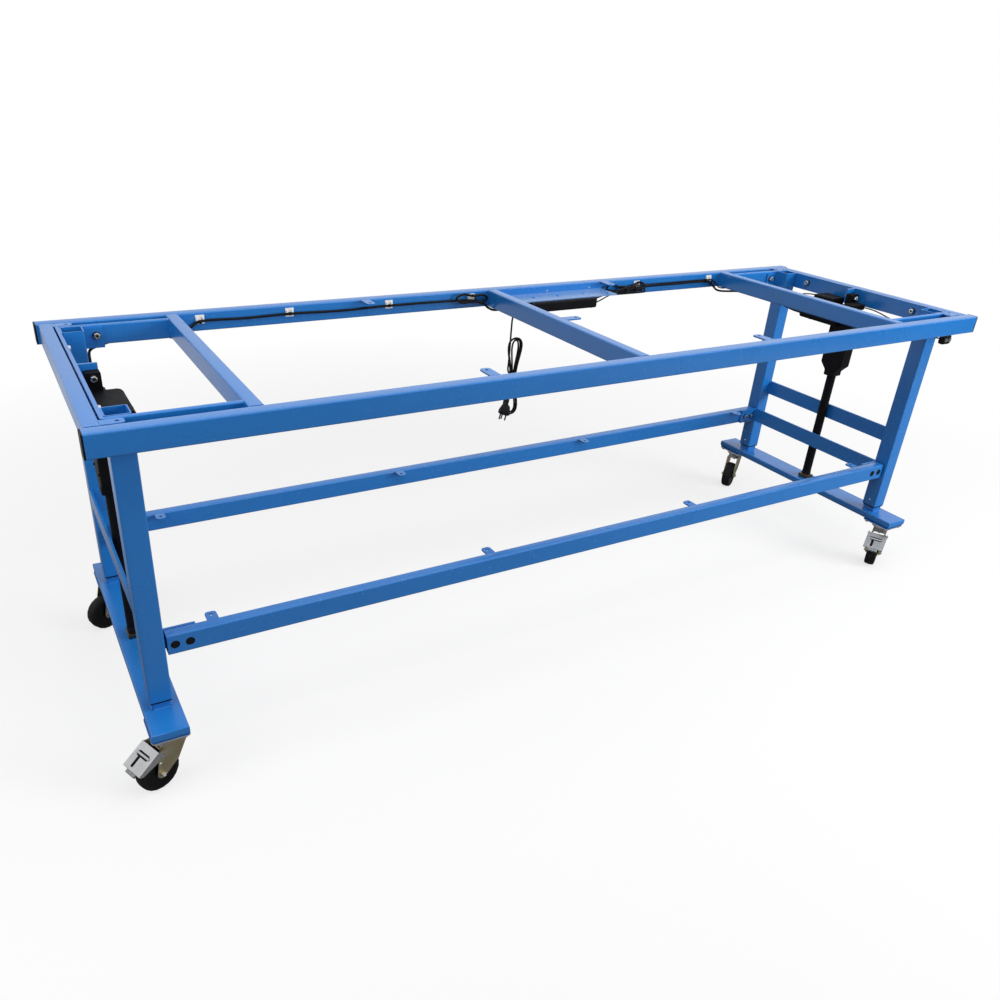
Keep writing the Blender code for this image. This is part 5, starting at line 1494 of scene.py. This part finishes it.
class TABLE_OT_caster_trim(bpy.types.Operator):
    """Add the nuts, swivel cups, plate bolts, rivets and spring leaves of the casters"""

    bl_idname = "table.caster_trim"
    bl_label = "Caster Trim"

    def execute(self, context):
        for face, side, _, _ in CORNERS:
            self.head(f"{face}_{side}")
        for side, way in SIDES.items():
            shape = bmesh.new()
            for sign in FACES.values():
                for across in (-PLATE_BOLT_X, PLATE_BOLT_X):
                    for along in (-PLATE_BOLT_Y, PLATE_BOLT_Y):
                        place = (way * LEG_X + across, sign * CASTER_Y + along, CASTER_PLATE_BASE)
                        bolt(shape, shape, place, (0, 0, -1), PLATE_BOLT, PLATE_BOLT_WASHER,
                             spin=along * PLATE_BOLT_SPIN)
            make_piece(f"{side}_plate_bolts", shape, "zinc", f"{side}_base", "steel")
        for side in SIDES:
            self.leaf(f"front_{side}", JOINTS[f"front_{side}_brake"])
        return {"FINISHED"}

    def head(self, corner):
        """Axle nuts, king nut, brake rivets and swivel cup of a caster."""
        roll = JOINTS[f"{corner}_roll"]
        axis = Vector(roll["axis"])
        shape = bmesh.new()
        for way in (-1, 1):
            place = Vector(roll["pos_m"]) + axis * way * AXLE_NUT_OUT
            hex_head(shape, AXLE_NUT, AXLE_NUT_HEIGHT, facing(place, axis * way, spin=0.4))
        king = Vector((*JOINTS[f"{corner}_swivel"]["pos_m"][:2], 0))
        under = king + Vector((0, 0, KING_NUT_Z))
        nut(shape, shape, under, (0, 0, -1), KING_NUT, KING_WASHER, spin=0.0)
        if f"{corner}_brake" in JOINTS:
            self.rivets(shape, king, axis)
        make_piece(f"{corner}_caster_nuts", shape, "zinc", f"{corner}_fork", "steel")
        shape = bmesh.new()
        lathe(shape, SWIVEL_CUP, 40, Matrix.Translation(king + Vector((0, 0, SWIVEL_CUP_Z))))
        make_piece(f"{corner}_swivel_cup", shape, "zinc", f"{corner}_fork", "steel")

    def rivets(self, shape, king, axis):
        """Heads of the brake spring's rivets on both cheeks of a fork."""
        trail = Vector((axis.y, -axis.x, 0))
        for reach, height in SPRING_RIVETS:
            for way in (-1, 1):
                place = king + trail * reach + Vector((0, 0, height)) + axis * way * FORK_FACE
                lathe(shape, SPRING_RIVET, 18, facing(place, axis * way))

    def leaf(self, corner, brake):
        """Dark spring leaf under the tread of a brake pedal."""
        slope, pin, outward = pedal_axes(brake)
        centre = Vector(brake["pos_m"]) + slope * LEAF_REACH + outward * (PEDAL_UNDERSIDE - LEAF_DROP)
        axes = Matrix((slope, pin, outward)).transposed().to_4x4()
        shape = bmesh.new()
        block(shape, LEAF_SIZE, Matrix.Translation(centre) @ axes, THIN_EDGE)
        make_piece(f"{corner}_spring_leaf", shape, "black_plastic", f"{corner}_pedal")


OPERATORS = (
    TABLE_OT_stage,
    TABLE_OT_finishes,
    TABLE_OT_mains_lead,
    TABLE_OT_held_leads,
    TABLE_OT_bolts,
    TABLE_OT_shade_plugs,
    TABLE_OT_welds,
    TABLE_OT_leg_guides,
    TABLE_OT_clips,
    TABLE_OT_handset_marks,
    TABLE_OT_actuator_trim,
    TABLE_OT_box_trim,
    TABLE_OT_caster_trim,
)
GROUPS = {
    "table_finish": TableFinish,
    "table_leads": TableLeads,
    "table_fasteners": TableFasteners,
    "table_stage": TableStage,
}


class TABLE_PT_looks(bpy.types.Panel):
    """Sizes, colours and steps of the table's looks"""

    bl_idname = "TABLE_PT_looks"
    bl_label = "Assembly Table"
    bl_space_type = "VIEW_3D"
    bl_region_type = "UI"
    bl_category = "Assembly Table"

    def draw(self, context):
        for group in GROUPS:
            values = getattr(context.scene, group)
            box = self.layout.box()
            for name in values.bl_rna.properties.keys():
                if name not in {"rna_type", "name"}:
                    box.prop(values, name)
        for operator in OPERATORS:
            self.layout.operator(operator.bl_idname)


CLASSES = (*GROUPS.values(), *OPERATORS, TABLE_PT_looks)


def register():
    for item in CLASSES:
        bpy.utils.register_class(item)
    for name, group in GROUPS.items():
        setattr(bpy.types.Scene, name, PointerProperty(type=group))


def unregister():
    for name in GROUPS:
        delattr(bpy.types.Scene, name)
    for item in reversed(CLASSES):
        bpy.utils.unregister_class(item)


def main():
    register()
    for operator in OPERATORS:
        family, name = operator.bl_idname.split(".")
        getattr(getattr(bpy.ops, family), name)()


if __name__ == "__main__":
    main()
